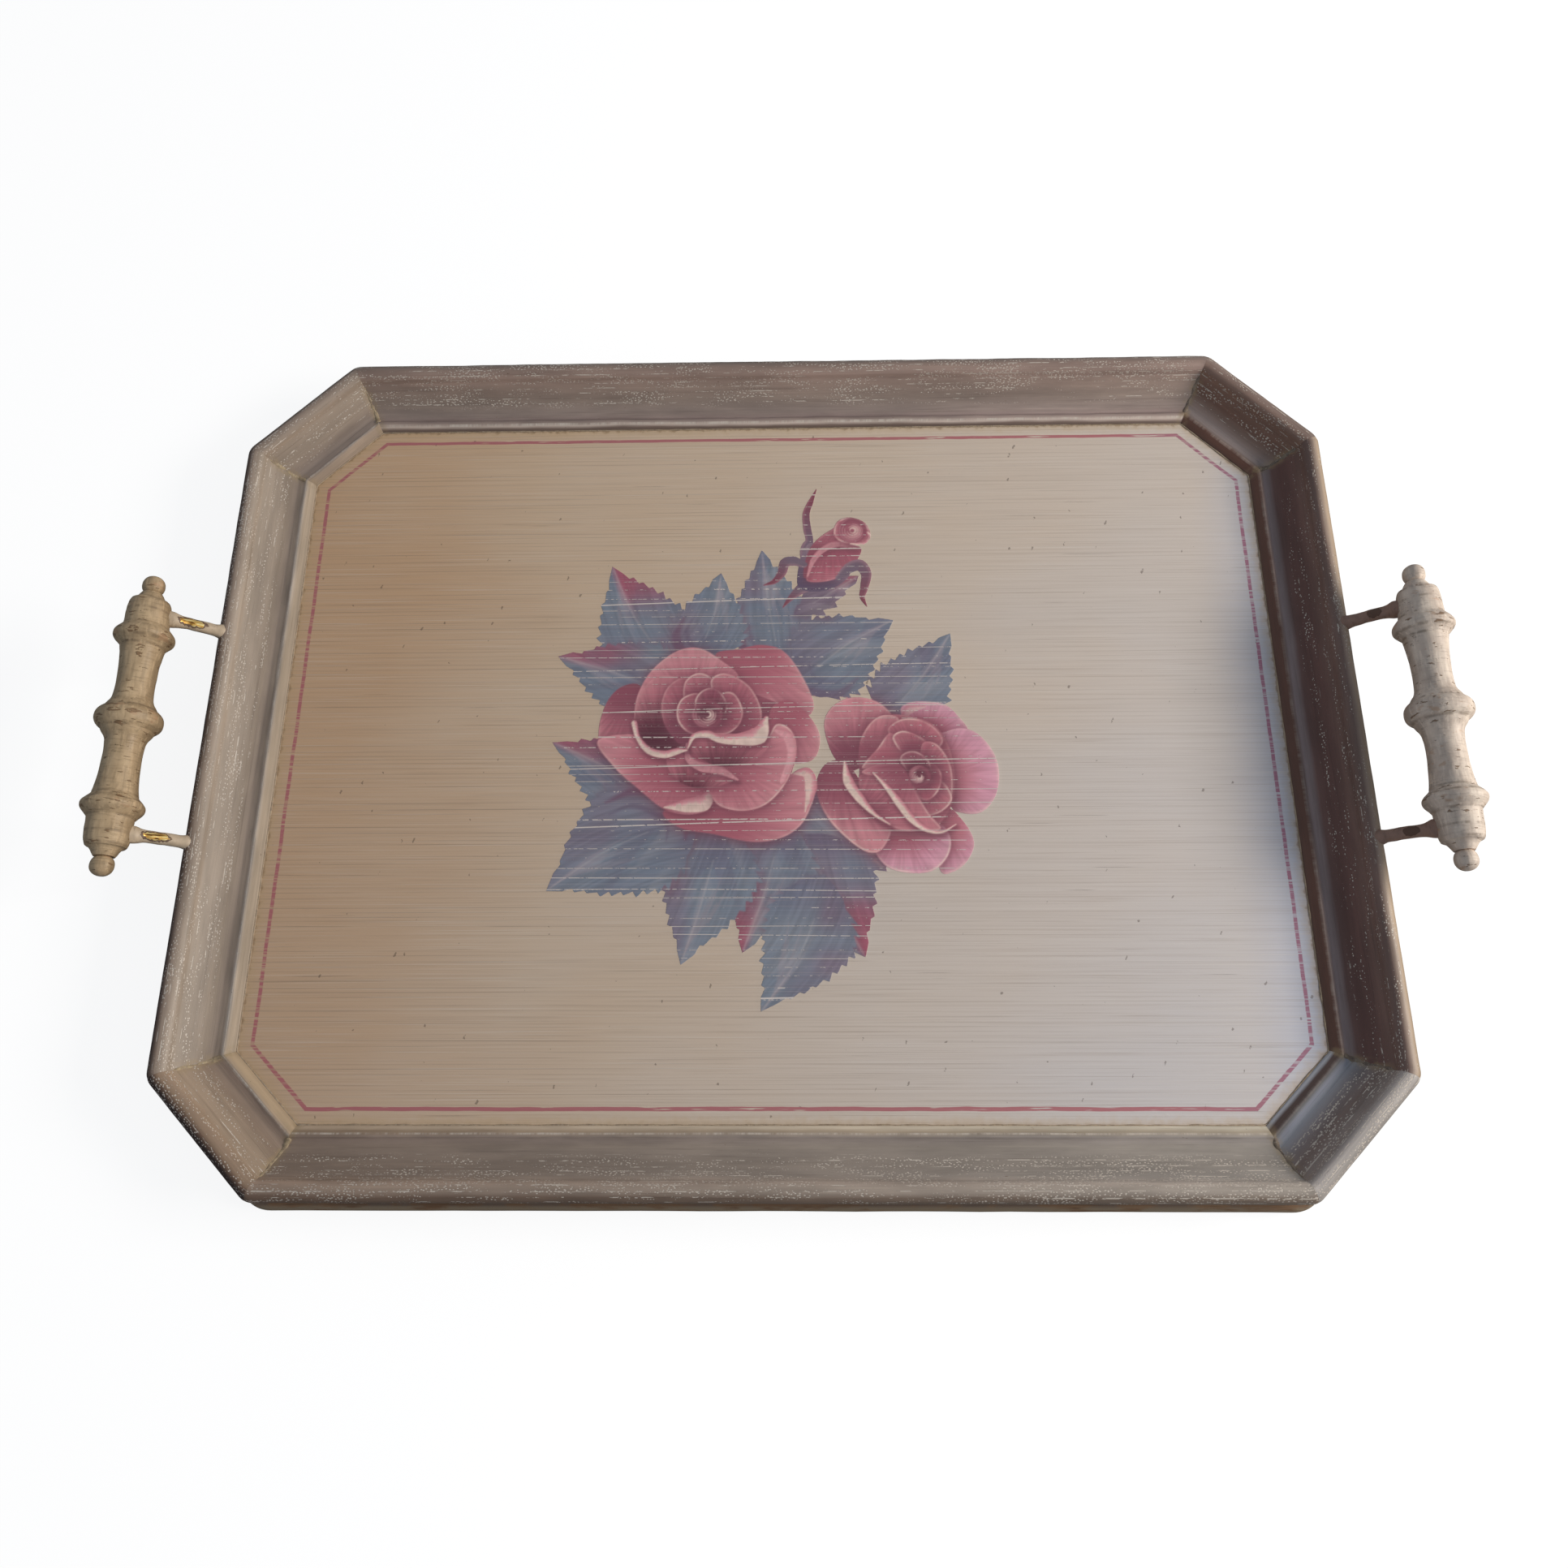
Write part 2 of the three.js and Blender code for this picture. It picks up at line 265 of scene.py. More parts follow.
class Graph:
    """A material's node tree, with a short call for each kind of node it uses."""

    def __init__(self, name):
        self.material = bpy.data.materials.new(name)
        self.material.use_nodes = True
        self.tree = self.material.node_tree
        self.tree.nodes.clear()

    def node(self, kind, **settings):
        made = self.tree.nodes.new(kind)
        for key, value in settings.items():
            setattr(made, key, value)
        return made

    def feed(self, socket, value):
        """Sets an input to a number or a colour, or links a Value to it."""
        if isinstance(value, Value):
            self.tree.links.new(value.socket, socket)
        elif isinstance(value, tuple) and len(value) == 3 and socket.type == "RGBA":
            socket.default_value = (*value, 1.0)
        elif value is not None:
            socket.default_value = value

    def math(self, operation, a, b=None):
        made = self.node("ShaderNodeMath", operation=operation)
        self.feed(made.inputs[0], a)
        self.feed(made.inputs[1], b)
        return Value(self, made.outputs[0])

    def least(self, a, b):
        return self.math("MINIMUM", a, b)

    def most(self, a, b):
        return self.math("MAXIMUM", a, b)

    def step(self, value, low, high):
        """0 below low and 1 above high, smooth between; low may be above high."""
        made = self.node("ShaderNodeMapRange", interpolation_type="SMOOTHSTEP", clamp=True)
        self.feed(made.inputs["Value"], value)
        self.feed(made.inputs["From Min"], low)
        self.feed(made.inputs["From Max"], high)
        return Value(self, made.outputs[0])

    def mix(self, factor, a, b, blend_type="MIX"):
        """Colour a, with b laid over it as strongly as the factor says."""
        made = self.node("ShaderNodeMix", data_type="RGBA", blend_type=blend_type)
        self.feed(made.inputs[0], factor)
        self.feed(made.inputs[6], a)
        self.feed(made.inputs[7], b)
        return Value(self, made.outputs[2])

    def tint(self, colour, gain):
        return self.mix(1.0, colour, gain, "MULTIPLY")

    def split(self, vector):
        made = self.node("ShaderNodeSeparateXYZ")
        self.feed(made.inputs[0], vector)
        return [Value(self, output) for output in made.outputs]

    def vector(self, x, y, z=0.0):
        made = self.node("ShaderNodeCombineXYZ")
        for socket, value in zip(made.inputs, (x, y, z)):
            self.feed(socket, value)
        return Value(self, made.outputs[0])

    def noise(self, x, y, z, detail=2.0, roughness=0.5, warp=0.0):
        """Cloudy noise round 0.5, with about one bump to each unit of x, y and z."""
        made = self.node("ShaderNodeTexNoise", noise_dimensions="3D")
        self.feed(made.inputs["Vector"], self.vector(x, y, z))
        self.feed(made.inputs["Scale"], 1.0)
        self.feed(made.inputs["Detail"], detail)
        self.feed(made.inputs["Roughness"], roughness)
        self.feed(made.inputs["Distortion"], warp)
        return Value(self, made.outputs["Fac"])

    def cells(self, x, y):
        """Distance to the nearest of the points scattered one to each unit square."""
        made = self.node("ShaderNodeTexVoronoi", voronoi_dimensions="2D")
        self.feed(made.inputs["Vector"], self.vector(x, y))
        self.feed(made.inputs["Scale"], 1.0)
        return Value(self, made.outputs["Distance"])

    def ramp(self, value, stops):
        """A colour ramp over value; stops are (place, colour)."""
        made = self.node("ShaderNodeValToRGB")
        self.feed(made.inputs[0], value)
        elements = made.color_ramp.elements
        while len(elements) < len(stops):
            elements.new(0.5)
        for element, (place, colour) in zip(elements, stops):
            element.position = place
            element.color = (*colour, 1.0)
        return Value(self, made.outputs[0])

    def attribute(self, name, output="Vector"):
        return Value(self, self.node("ShaderNodeAttribute", attribute_name=name).outputs[output])

    def place_mm(self):
        """The surface point in the tray's frame: its x, y and z in millimetres."""
        point = self.node("ShaderNodeTexCoord").outputs["Object"]
        scaled = self.node("ShaderNodeVectorMath", operation="SCALE")
        self.feed(scaled.inputs[0], Value(self, point))
        self.feed(scaled.inputs["Scale"], 1 / MM)
        return self.split(Value(self, scaled.outputs[0]))

    def finish(self, colour, roughness, relief, depth, metallic=0.0):
        """The surface shader. Relief stands depth millimetres high where it is 1."""
        bump = self.node("ShaderNodeBump")
        self.feed(bump.inputs["Distance"], depth * MM)
        self.feed(bump.inputs["Strength"], 1.0)
        self.feed(bump.inputs["Height"], relief)
        shader = self.node("ShaderNodeBsdfPrincipled")
        self.feed(shader.inputs["Base Color"], colour)
        self.feed(shader.inputs["Roughness"], roughness)
        self.feed(shader.inputs["Metallic"], metallic)
        self.feed(shader.inputs["Normal"], Value(self, bump.outputs[0]))
        out = self.node("ShaderNodeOutputMaterial")
        self.feed(out.inputs["Surface"], Value(self, shader.outputs[0]))
        return self.material


# ---------------------------------------------------------------- panel paint
GROUND_WARM = (0.67, 0.45, 0.28)
GROUND_TAN = (0.73, 0.56, 0.405)
GROUND_PALE = (0.75, 0.635, 0.53)
GROUND_COOL = (0.72, 0.66, 0.62)
TINT_FRONT, TINT_BACK = (0.98, 1.0, 1.04), (1.01, 0.955, 0.88)
PAINTED_SHADOW_TINT = (0.8, 0.89, 1.06)
BROAD_DARK = (0.4, 0.3, 0.22)
BRUSHED_DARK = (0.33, 0.25, 0.19)
BRUSHED_PALE = (0.9, 0.84, 0.76)
GROOVE_BROWN = (0.27, 0.2, 0.145)
LINE_PINK = (0.50, 0.145, 0.17)
LINE_MAUVE = (0.33, 0.12, 0.22)
OCHRE = (0.60, 0.42, 0.22)
PANEL_FOOT_DARK = (0.27, 0.16, 0.08)
SPECK = (0.10, 0.065, 0.045)
PAINT_RELIEF = 0.12


def edge_distance(g, x, y):
    """How far a point of the panel is from the rails, in millimetres."""
    across, along = abs(x), abs(y)
    corner = (WELL_X + WELL_Y - CORNER_LEG - (across + along)) * math.sqrt(0.5)
    return g.least(g.least(WELL_X - across, WELL_Y - along), corner)


def brush_rows(g, x, y, pitch, half_width, seed):
    """Thin lines along X, roughly a pitch apart: 1 on a line and 0 off it."""
    wander = g.noise(x * 0.0015, y * (0.35 / pitch), seed, detail=1)
    place = y / pitch + wander * 1.7
    away = abs(g.math("FRACT", place) - 0.5) * pitch
    return g.step(away, 1.35 * half_width, 0.65 * half_width)


def comb(g, x, y):
    """The brush's long strokes along X: the broad rows and the fine ones inside them."""
    broad = g.noise(x * 0.005, y * 1.05, 2.7, detail=3, roughness=0.65)
    fine = g.noise(x * 0.012, y * 2.4, 9.1, detail=2, roughness=0.65)
    return broad, fine


def rubbed_roughness(g, x, y, least):
    """Roughness that varies a little along the brush rows."""
    wear = g.noise(x * 0.02, y * 0.3, 1.0, detail=3)
    return least + wear * 0.22


def ground_paint(g, x, y):
    """Colour and relief of the dragged cream ground, with painted light and a painted shadow in it.
    """
    across = (x + WELL_X) / (2 * WELL_X)
    wander = g.noise(x * 0.008, y * 0.011, 5.0, detail=3)
    across = across + (wander - 0.5) * 0.5
    # painted light: the ground runs from warm and darker at the left to paler and cooler at the
    # right, towards the window
    colour = g.ramp(across, [(0.02, GROUND_WARM), (0.3, GROUND_TAN), (0.62, GROUND_PALE),
                             (0.9, GROUND_COOL)])
    depth = (y + WELL_Y) / (2 * WELL_Y)
    colour = g.tint(colour, g.ramp(depth, [(0.05, TINT_FRONT), (0.95, TINT_BACK)]))
    # painted shadow: a cooler, darker band beside the right rail, where the right grip's shadow falls
    painted_shadow_band = g.step(x + wander * 14.0, 198.0, 232.0)
    colour = g.tint(colour, g.mix(painted_shadow_band, (1.0, 1.0, 1.0), PAINTED_SHADOW_TINT))
    # rows and grooves left by the brush
    broad, fine = comb(g, x, y)
    colour = g.mix(g.step(broad, 0.5, 0.36) * 0.11, colour, BROAD_DARK)
    strong = g.noise(x * 0.009, y * 0.25, 80.0, detail=3, roughness=0.7)
    grooves = brush_rows(g, x, y, 2.1, 0.18, 81.0) * g.step(strong, 0.4, 0.68)
    faded = 0.5 - across * 0.32
    colour = g.mix(grooves * faded, colour, GROOVE_BROWN)
    colour = g.mix(g.step(fine, 0.55, 0.7) * 0.24, colour, BRUSHED_PALE)
    colour = g.mix(g.step(fine, 0.43, 0.28) * 0.3, colour, BRUSHED_DARK)
    # long hairline scratches
    hair = g.noise(x * 0.012, y * 2.2, 40.0, detail=1)
    reach = g.noise(x * 0.02, y * 0.2, 60.0, detail=2)
    hair = g.step(hair, 0.72, 0.78) * g.step(reach, 0.5, 0.6)
    colour = g.mix(hair * 0.5, colour, SPECK)
    # short hairs and specks of dirt caught in the paint
    bend = g.noise(x * 0.5, y * 0.5, 17.0, detail=2) * 0.16
    dust = g.cells(x * 0.062 + bend, y * 0.036 + bend)
    sparse = g.step(g.noise(x * 0.021, y * 0.021, 18.0), 0.42, 0.6)
    dust_size = 0.009 + sparse * 0.02
    colour = g.mix(g.step(dust_size - dust, -0.004, 0.008) * 0.55, colour, SPECK)
    # pink border line, broken where it crosses the brush rows
    inward = edge_distance(g, x, y)
    wobble = g.noise(x * 0.05, y * 0.05, 8.0, detail=3)
    drawn = inward + (wobble - 0.5) * 0.9
    rows = g.noise(x * 0.07, y, 23.0, detail=2)
    swell = (rows - 0.5) * 0.6
    line = g.step(drawn, LINE_FROM - 0.15, LINE_FROM + 0.15)
    line = line * g.step(drawn + swell, LINE_TO + 0.15, LINE_TO - 0.15)
    line = line * g.step(rows, 0.68, 0.6)
    hatch = g.noise(x * 0.03, y * 0.75, 29.0, detail=3, roughness=0.75)
    crossing = g.step(abs(y), WELL_Y - 8.0, WELL_Y - 10.0)
    line = line * (1.0 - g.step(hatch, 0.5, 0.59) * crossing * 0.65)
    line_colour = g.mix(g.step(x, 150.0, 220.0) * 0.75, LINE_PINK, LINE_MAUVE)
    colour = g.mix(line * 0.9, colour, line_colour)
    # ochre smeared along the rails, and a darker edge at their foot, least along the front
    cloud = g.noise(x * 0.3, y * 0.3, 11.0, detail=4)
    ragged = inward + (cloud - 0.5) * 5.0
    colour = g.mix(g.step(ragged, 5.0, 0.0) * 0.42, colour, OCHRE)
    foot_darkness = 0.12 + g.step(depth, 0.02, 0.15) * 0.48
    colour = g.mix(g.step(ragged, 1.5, 0.0) * foot_darkness, colour, PANEL_FOOT_DARK)
    return colour, broad * 0.6 + fine * 0.5 - hair * 0.5


def panel_material():
    """The ground where nothing is painted on it."""
    g = Graph("dragged_cream_paint")
    x, y, _ = g.place_mm()
    colour, relief = ground_paint(g, x, y)
    return g.finish(colour, rubbed_roughness(g, x, y, 0.42), relief, depth=PAINT_RELIEF)


def comb_height(x, y):
    """Relief of the panel's paint above the board, in millimetres."""
    broad = smooth_noise(x / 60, y / 1.3, 5)
    fine = smooth_noise(x / 25, y / 0.7, 6)
    return 0.05 + 0.02 * broad + 0.015 * fine


def panel_film(material):
    """The panel's paint: long rows that follow the brush, cut to the octagon by the rails."""
    row_step, column_step = 0.8, 9.0
    rows = int(2 * WELL_Y / row_step)
    columns = int(2 * WELL_X / column_step)
    y = np.linspace(-WELL_Y, WELL_Y, rows)
    reach = np.minimum(WELL_X, WELL_X + WELL_Y - CORNER_LEG - np.abs(y))
    x = np.linspace(-1, 1, columns)[None, :] * reach[:, None]
    y = np.repeat(y[:, None], columns, axis=1)
    points = np.stack([x, y, PANEL_Z + comb_height(x, y)], axis=-1).reshape(-1, 3)
    faces = grid_faces(rows, columns)
    mesh_piece("panel_paint", points, faces, material, sharp=180)


# ---------------------------------------------------------------- the painted bouquet
# Display colours, 0 to 255, as mixed on the palette.
CREAM = np.array((214, 190, 176.0))
BLUSH = np.array((197, 140, 144.0))
ROSE = np.array((172, 105, 114.0))
MADDER = np.array((152, 84, 96.0))
WINE = np.array((116, 62, 76.0))
LILAC = np.array((186, 132, 148.0))
SLATE = np.array((101, 107, 121.0))
TEAL = np.array((107, 115, 126.0))
PLUM = np.array((113, 95, 109.0))
TIP_RED = np.array((146, 72, 88.0))
DUSK = np.array((84, 72, 92.0))
PALE_LEAF = np.array((168, 160, 158.0))
INK = np.array((80, 38, 50.0))
FLUSH = blend(ROSE, BLUSH, 0.35)
CARMINE = blend(MADDER, ROSE, 0.5)
SHADE = blend(WINE, MADDER, 0.3)
UNDERCURL = blend(WINE, INK, 0.4)
# The rest are linear, like all the other colours here.
DRAGGED_DARK = (0.18, 0.11, 0.11)
DRAGGED_PALE = (0.85, 0.7, 0.66)
SCRATCHED_BARE = (1.0, 0.9, 0.84)
PAINT_GAIN = 1.72  # from the colours as seen on the tray to the paint's own reflectance
SHADOW_FALL = (0.4, -0.9)
FILM_LIFT = 0.004  # from the ground's paint to a film's thin edge
FILM_THICK = 0.03
FILM_STEP = 0.008  # more for each film than for the one before it
FILM_BODY = 0.02  # more for white paint than for black
FAR_OFF = 1e9


def edge_of(x, y, outline):
    """Signed distance from a closed outline, in millimetres: negative inside."""
    nearest = np.full(x.shape, FAR_OFF)
    inside = np.zeros(x.shape, bool)
    for (ax, ay), (bx, by) in zip(outline, np.roll(outline, -1, axis=0)):
        dx, dy = bx - ax, by - ay
        t = np.clip(((x - ax) * dx + (y - ay) * dy) / (dx * dx + dy * dy + 1e-12), 0, 1)
        nearest = np.minimum(nearest, np.hypot(x - ax - t * dx, y - ay - t * dy))
        if dy != 0:
            crossing = (ay > y) != (by > y)
            inside ^= crossing & (x < ax + (y - ay) * dx / dy)
    return np.where(inside, -nearest, nearest)


class Canvas:
    """A patch of the panel that is painted on, sampled at the points of a fine grid. Places on
    it are millimetres on the panel, from its middle."""

    def __init__(self, low, high, pitch):
        self.pitch = pitch
        columns = np.arange(low[0], high[0] + pitch, pitch)
        rows = np.arange(low[1], high[1] + pitch, pitch)
        self.x, self.y = np.meshgrid(columns, rows)
        self.colour = np.zeros((*self.x.shape, 3))
        self.edge = np.full(self.x.shape, 9.0)  # distance outside everything painted so far
        self.owner = np.full(self.x.shape, -1)  # which part of the bouquet shows at each point
        self.current = 0

    def claim(self, part, edge):
        """Gives the points inside an edge, or nearest to it on bare ground, to the current part."""
        own = (edge < 0) | ((self.edge[part] > 0) & (edge < self.edge[part]))
        self.owner[part][own] = self.current

    def window(self, points, margin):
        low = np.min(points, axis=0) - margin
        high = np.max(points, axis=0) + margin
        columns = np.searchsorted(self.x[0], [low[0], high[0]])
        rows = np.searchsorted(self.y[:, 0], [low[1], high[1]])
        return slice(*rows), slice(*columns)

    def lay(self, outline, shade, soft=0.3, shadow=0.0, reach=2.5):
        """Paints the inside of an outline. shade(x, y, depth) mixes its colours, and shadow
        darkens what lies round it first, most on the side that SHADOW_FALL points to."""
        part = self.window(outline, 3 * reach + 3)
        x, y, colour = self.x[part], self.y[part], self.colour[part]
        if x.size == 0:
            return
        edge = edge_of(x, y, outline)
        if shadow:
            moved = edge_of(x - SHADOW_FALL[0], y - SHADOW_FALL[1], outline)
            dark = shadow * np.exp(-np.clip(moved, 0, None) / reach) * (edge > -soft)
            colour[:] = blend(colour, WINE * 0.9, dark * (self.edge[part] < 0.5))
        mask = ease(-edge, -soft, soft)
        bare = self.edge[part] > 0
        self.claim(part, edge)
        mask = np.where(bare, np.maximum(mask, ease(edge, 2.0, 1.0)), mask)
        colour[:] = blend(colour, shade(x, y, -edge), mask)
        self.edge[part] = np.minimum(self.edge[part], edge)

    def stroke(self, points, widths, tint, strength=0.8, soft=0.5, grow=False):
        """A brush stroke: tint is a colour, or a function of the place along and across it."""
        line = smooth_curve(points, 10)
        widths = np.interp(np.linspace(0, 1, len(line)), np.linspace(0, 1, len(widths)), widths)
        part = self.window(line, widths.max() + 2)
        x, y, colour = self.x[part], self.y[part], self.colour[part]
        if x.size == 0:
            return
        best = np.full(x.shape, FAR_OFF)
        along, across, half = np.zeros(x.shape), np.zeros(x.shape), np.ones(x.shape)
        steps = len(line) - 1
        for i in range(steps):
            ax, ay = line[i]
            dx, dy = line[i + 1] - line[i]
            length = dx * dx + dy * dy + 1e-12
            t = np.clip(((x - ax) * dx + (y - ay) * dy) / length, 0, 1)
            gap = np.hypot(x - ax - t * dx, y - ay - t * dy)
            nearer = gap < best
            side = np.sign(dx * (y - ay) - dy * (x - ax))
            best = np.where(nearer, gap, best)
            along = np.where(nearer, (i + t) / steps, along)
            across = np.where(nearer, side * gap, across)
            half = np.where(nearer, widths[i] + (widths[i + 1] - widths[i]) * t, half)
        half = half / 2
        mask = strength * ease(half - best, -soft, soft)
        if callable(tint):
            tint = tint(along, across / np.maximum(half, 0.1))
        if grow:
            mask = np.where(self.edge[part] > 0, np.maximum(mask, ease(best - half, 2.0, 1.0)), mask)
            self.claim(part, best - half)
            self.edge[part] = np.minimum(self.edge[part], best - half)
        colour[:] = blend(colour, tint, mask)


def petal(canvas, outline, root, dark, light, rim=0.5, shadow=0.5, seed=0):
    """One rose petal, dark round its root and light at its lip, with the brush's fine streaks."""
    outline = smooth_curve(outline, 6, closed=True)
    root = np.array(root, float)
    reach = np.hypot(*(outline - root).T).max()
    heading = math.atan2(*(outline.mean(axis=0) - root)[::-1])

    def shade(x, y, depth):
        ahead = np.hypot(x - root[0], y - root[1]) / reach
        turn = (np.arctan2(y - root[1], x - root[0]) - heading + math.pi) % (2 * math.pi)
        fine = smooth_noise(turn * 20 + seed, ahead * 3, 90)
        fine = fine + 0.6 * smooth_noise(turn * 50, ahead * 5, 91)
        patchy = smooth_noise(turn * 3 + seed, 2.3 * seed + ahead * 0, 97)
        colour = blend(dark, light, ease(ahead + 0.05 * fine, 0.2, 0.92))
        lift = ease(ahead, 0.35, 0.75)
        glow = np.clip(0.35 + 0.5 * patchy, 0, 1) * lift * np.exp(-np.clip(depth, 0, None) / 3.0)
        colour = blend(colour, blend(light, CREAM, 0.3), glow)
        colour = colour * (1 + 0.05 * fine * lift)[..., None]
        line = 0.8 * rim * lift * bump_at(depth, 0.45, 0.42) * np.clip(0.7 + 0.6 * patchy, 0.15, 1)
        return blend(colour, CREAM, np.clip(line, 0, 1))

    canvas.lay(outline, shade, shadow=shadow)


def lip(canvas, points, widths, strength=0.95, crest=CREAM - 6, shadow=0.6):
    """The turned-over edge of a petal: pale on its crest, rose in its fold, feathered inwards."""

    def tint(along, across):
        fine = smooth_noise(along * 46, across * 0.9, 92)
        fold = ease(across + 0.28 * fine, -0.4, 1.15)
        colour = blend(crest, BLUSH, ease(fold, 0.1, 0.6))
        colour = blend(colour, ROSE, 0.85 * ease(fold, 0.5, 1.0))
        return colour * (1 + 0.07 * fine)[..., None]

    under = [(x + 0.3, y - 1.3) for x, y in points]
    canvas.stroke(under, [width + 1.4 for width in widths], UNDERCURL, shadow, soft=1.6)
    canvas.stroke(points, widths, tint, strength, soft=0.35)


def heart(canvas, centre, radius, turn, deep=0.5 * (INK + WINE), sweep=2.3, pale=CREAM + 8):
    """The rose's middle: a dark bowl with a pale curl wound in one side of it."""
    centre = np.array(centre, float)
    ring = np.linspace(0, 2 * math.pi, 24, endpoint=False)
    bowl = centre + radius * np.column_stack([np.cos(ring), np.sin(ring)])

    def shade(x, y, depth):
        return blend(SHADE, deep, ease(depth, 0.1, 0.6 * radius))

    canvas.lay(bowl, shade, shadow=0.2, reach=1.2, soft=1.0)
    for number, share in enumerate((0.95, 0.76, 0.58, 0.4, 0.22)):
        arc = turn + 0.45 * number + np.linspace(0, sweep + 0.45 * number, 9)
        swirl = share * radius * (1 - 0.1 * np.linspace(0, 1, 9))
        points = centre + swirl[:, None] * np.column_stack([np.cos(arc), np.sin(arc)])
        tint = blend(BLUSH * 0.95, pale, number / 4)
        canvas.stroke(points, [0.2, 1.0, 1.0, 0.2], tint, 0.4 + 0.11 * number, soft=0.35)


def paint_large_rose(canvas):
    """The open rose on the left, from its back petals to its front ones."""
    put, curl = partial(petal, canvas), partial(lip, canvas)
    put([(-62, 20), (-40, 40), (-10, 33), (8, 20), (6, -14), (-12, -30), (-42, -28), (-60, -10)],
        (-20, 0), WINE, CARMINE, 0.0, seed=17, shadow=0)
    put([(-62, 27), (-71, 28), (-78, 20), (-81, 6), (-78, -4), (-66, -8), (-58, 6)],
        (-65, 26), SHADE, ROSE, 0.3, seed=1, shadow=0)
    put([(-29, 43), (-18, 46), (-8, 48), (2, 45), (10, 34), (16, 19), (12, 13), (-2, 20),
         (-18, 28)], (-20, 43), MADDER, FLUSH, 0.25, seed=2, shadow=0)
    put([(-3, 17), (5, 20.5), (13, 14), (18.5, 4), (17, -6), (11, -9.5), (3, -8), (-4, 4)],
        (2, 19), MADDER, FLUSH, 0.3, seed=3)
    put([(-65, 18), (-61, 31), (-54, 40), (-45, 46), (-36, 46.5), (-27, 41), (-18, 32), (-24, 22),
         (-44, 8), (-62, 2)], (-38, 12), MADDER, FLUSH, 0.2, seed=4)
    put([(-50, -31), (-43, -39), (-28, -42), (-12, -45.5), (1, -44), (10, -38), (15, -28),
         (17, -18), (14, -12), (8, -13), (-4, -22), (-26, -26)],
        (-34, -34), MADDER, FLUSH, 0.5, seed=5)
    curl([(7, -14), (13, -14.5), (14.5, -21), (12, -32)], [1.5, 5, 5.5, 0.8], 0.8, shadow=0)
    put([(-81, 2), (-73, -11), (-62, -21), (-51, -30), (-41, -33), (-32, -31.5), (-28.5, -26),
         (-32, -20), (-46, -7), (-60, 4)], (-44, -10), MADDER, FLUSH, 0.3, seed=6)
    curl([(-50, -29.5), (-41, -29), (-33, -27.5), (-30.5, -23)], [1, 6, 8, 3], shadow=0.3)
    put([(-41, -2), (-38, -11), (-31, -22), (-26, -29), (-16, -31.5), (-6, -29), (2, -21), (7, -10),
         (8, 0), (5, 7), (-1, 9), (-6, 2), (-20, -2)], (-26, -8), MADDER, FLUSH, 0.85, seed=7)
    curl([(-1, 6), (4.5, 3), (6, -6), (2, -18)], [2, 5, 4, 2.6], 0.75, BLUSH + 8, shadow=0)
    put([(-65, 12), (-64, 4), (-58, -3), (-49, -4), (-42, 2), (-40, 18), (-43, 30), (-54, 33),
         (-62, 26)], (-53, -2), INK, ROSE, 0.1, seed=8, shadow=0.1)
    put([(-53, 20), (-50, 28), (-43, 32), (-37, 26), (-38, 10), (-43, 0), (-48, 4), (-52, 11)],
        (-40, 4), WINE, CARMINE, 0.6, seed=9)
    put([(-43, 29), (-38, 34), (-32, 33), (-28, 27), (-33, 17), (-42, 19)],
        (-35, 16), WINE, CARMINE, 0.85, seed=10)
    put([(-31, 30), (-26, 34), (-19, 32), (-12, 26), (-7.5, 15), (-10, 6), (-22, 8), (-28, 20)],
        (-23, 10), SHADE, CARMINE, 0.85, seed=11)
    put([(-46, 17), (-43, 22.5), (-36, 24), (-33, 15), (-34, 5), (-40, 5), (-45, 10)],
        (-34, 11), WINE, MADDER, 0.95, seed=12)
    put([(-26, 24), (-20, 24), (-16, 16), (-17.5, 9), (-23, 4.5), (-31, 5), (-31, 16)],
        (-30, 13), WINE, MADDER, 0.9, seed=13)
    put([(-38, 19), (-36, 24.5), (-31, 27), (-26, 24.5), (-23, 18), (-26, 11), (-35, 10)],
        (-31, 12), INK, SHADE, 0.8, seed=14)
    heart(canvas, (-32, 14), 7.0, 2.5)
    put([(-50, -6), (-44, -4), (-38, -9), (-28, -13), (-20, -17), (-27, -20), (-38, -20.5),
         (-47, -15)], (-40, -30), INK, CARMINE, 0.0, seed=15)
    curl([(-41, 0), (-40, -7), (-34, -11), (-26, -12.5), (-18, -17)],
         [0.8, 3, 4.4, 4.2, 1], 0.9, BLUSH - 6)
    put([(-40, 1), (-37, -5), (-29, -10), (-19, -10.5), (-9, -7), (-4, 1), (-14, 4), (-34, 5)],
        (-26, -20), INK, CARMINE, 0.0, seed=16, shadow=0.3)
    curl([(-40.5, -2), (-38, 3.5), (-32, 4.6), (-26, 2), (-18, 2), (-9, 4), (-5.5, 12)],
         [0.8, 2.4, 3.4, 3.4, 5.5, 9, 2])
    curl([(-65, 10), (-63, 3), (-58, -3), (-51, -5), (-45, -3.5), (-41, -3)],
         [2.6, 2, 3.2, 3.6, 3, 0.8])


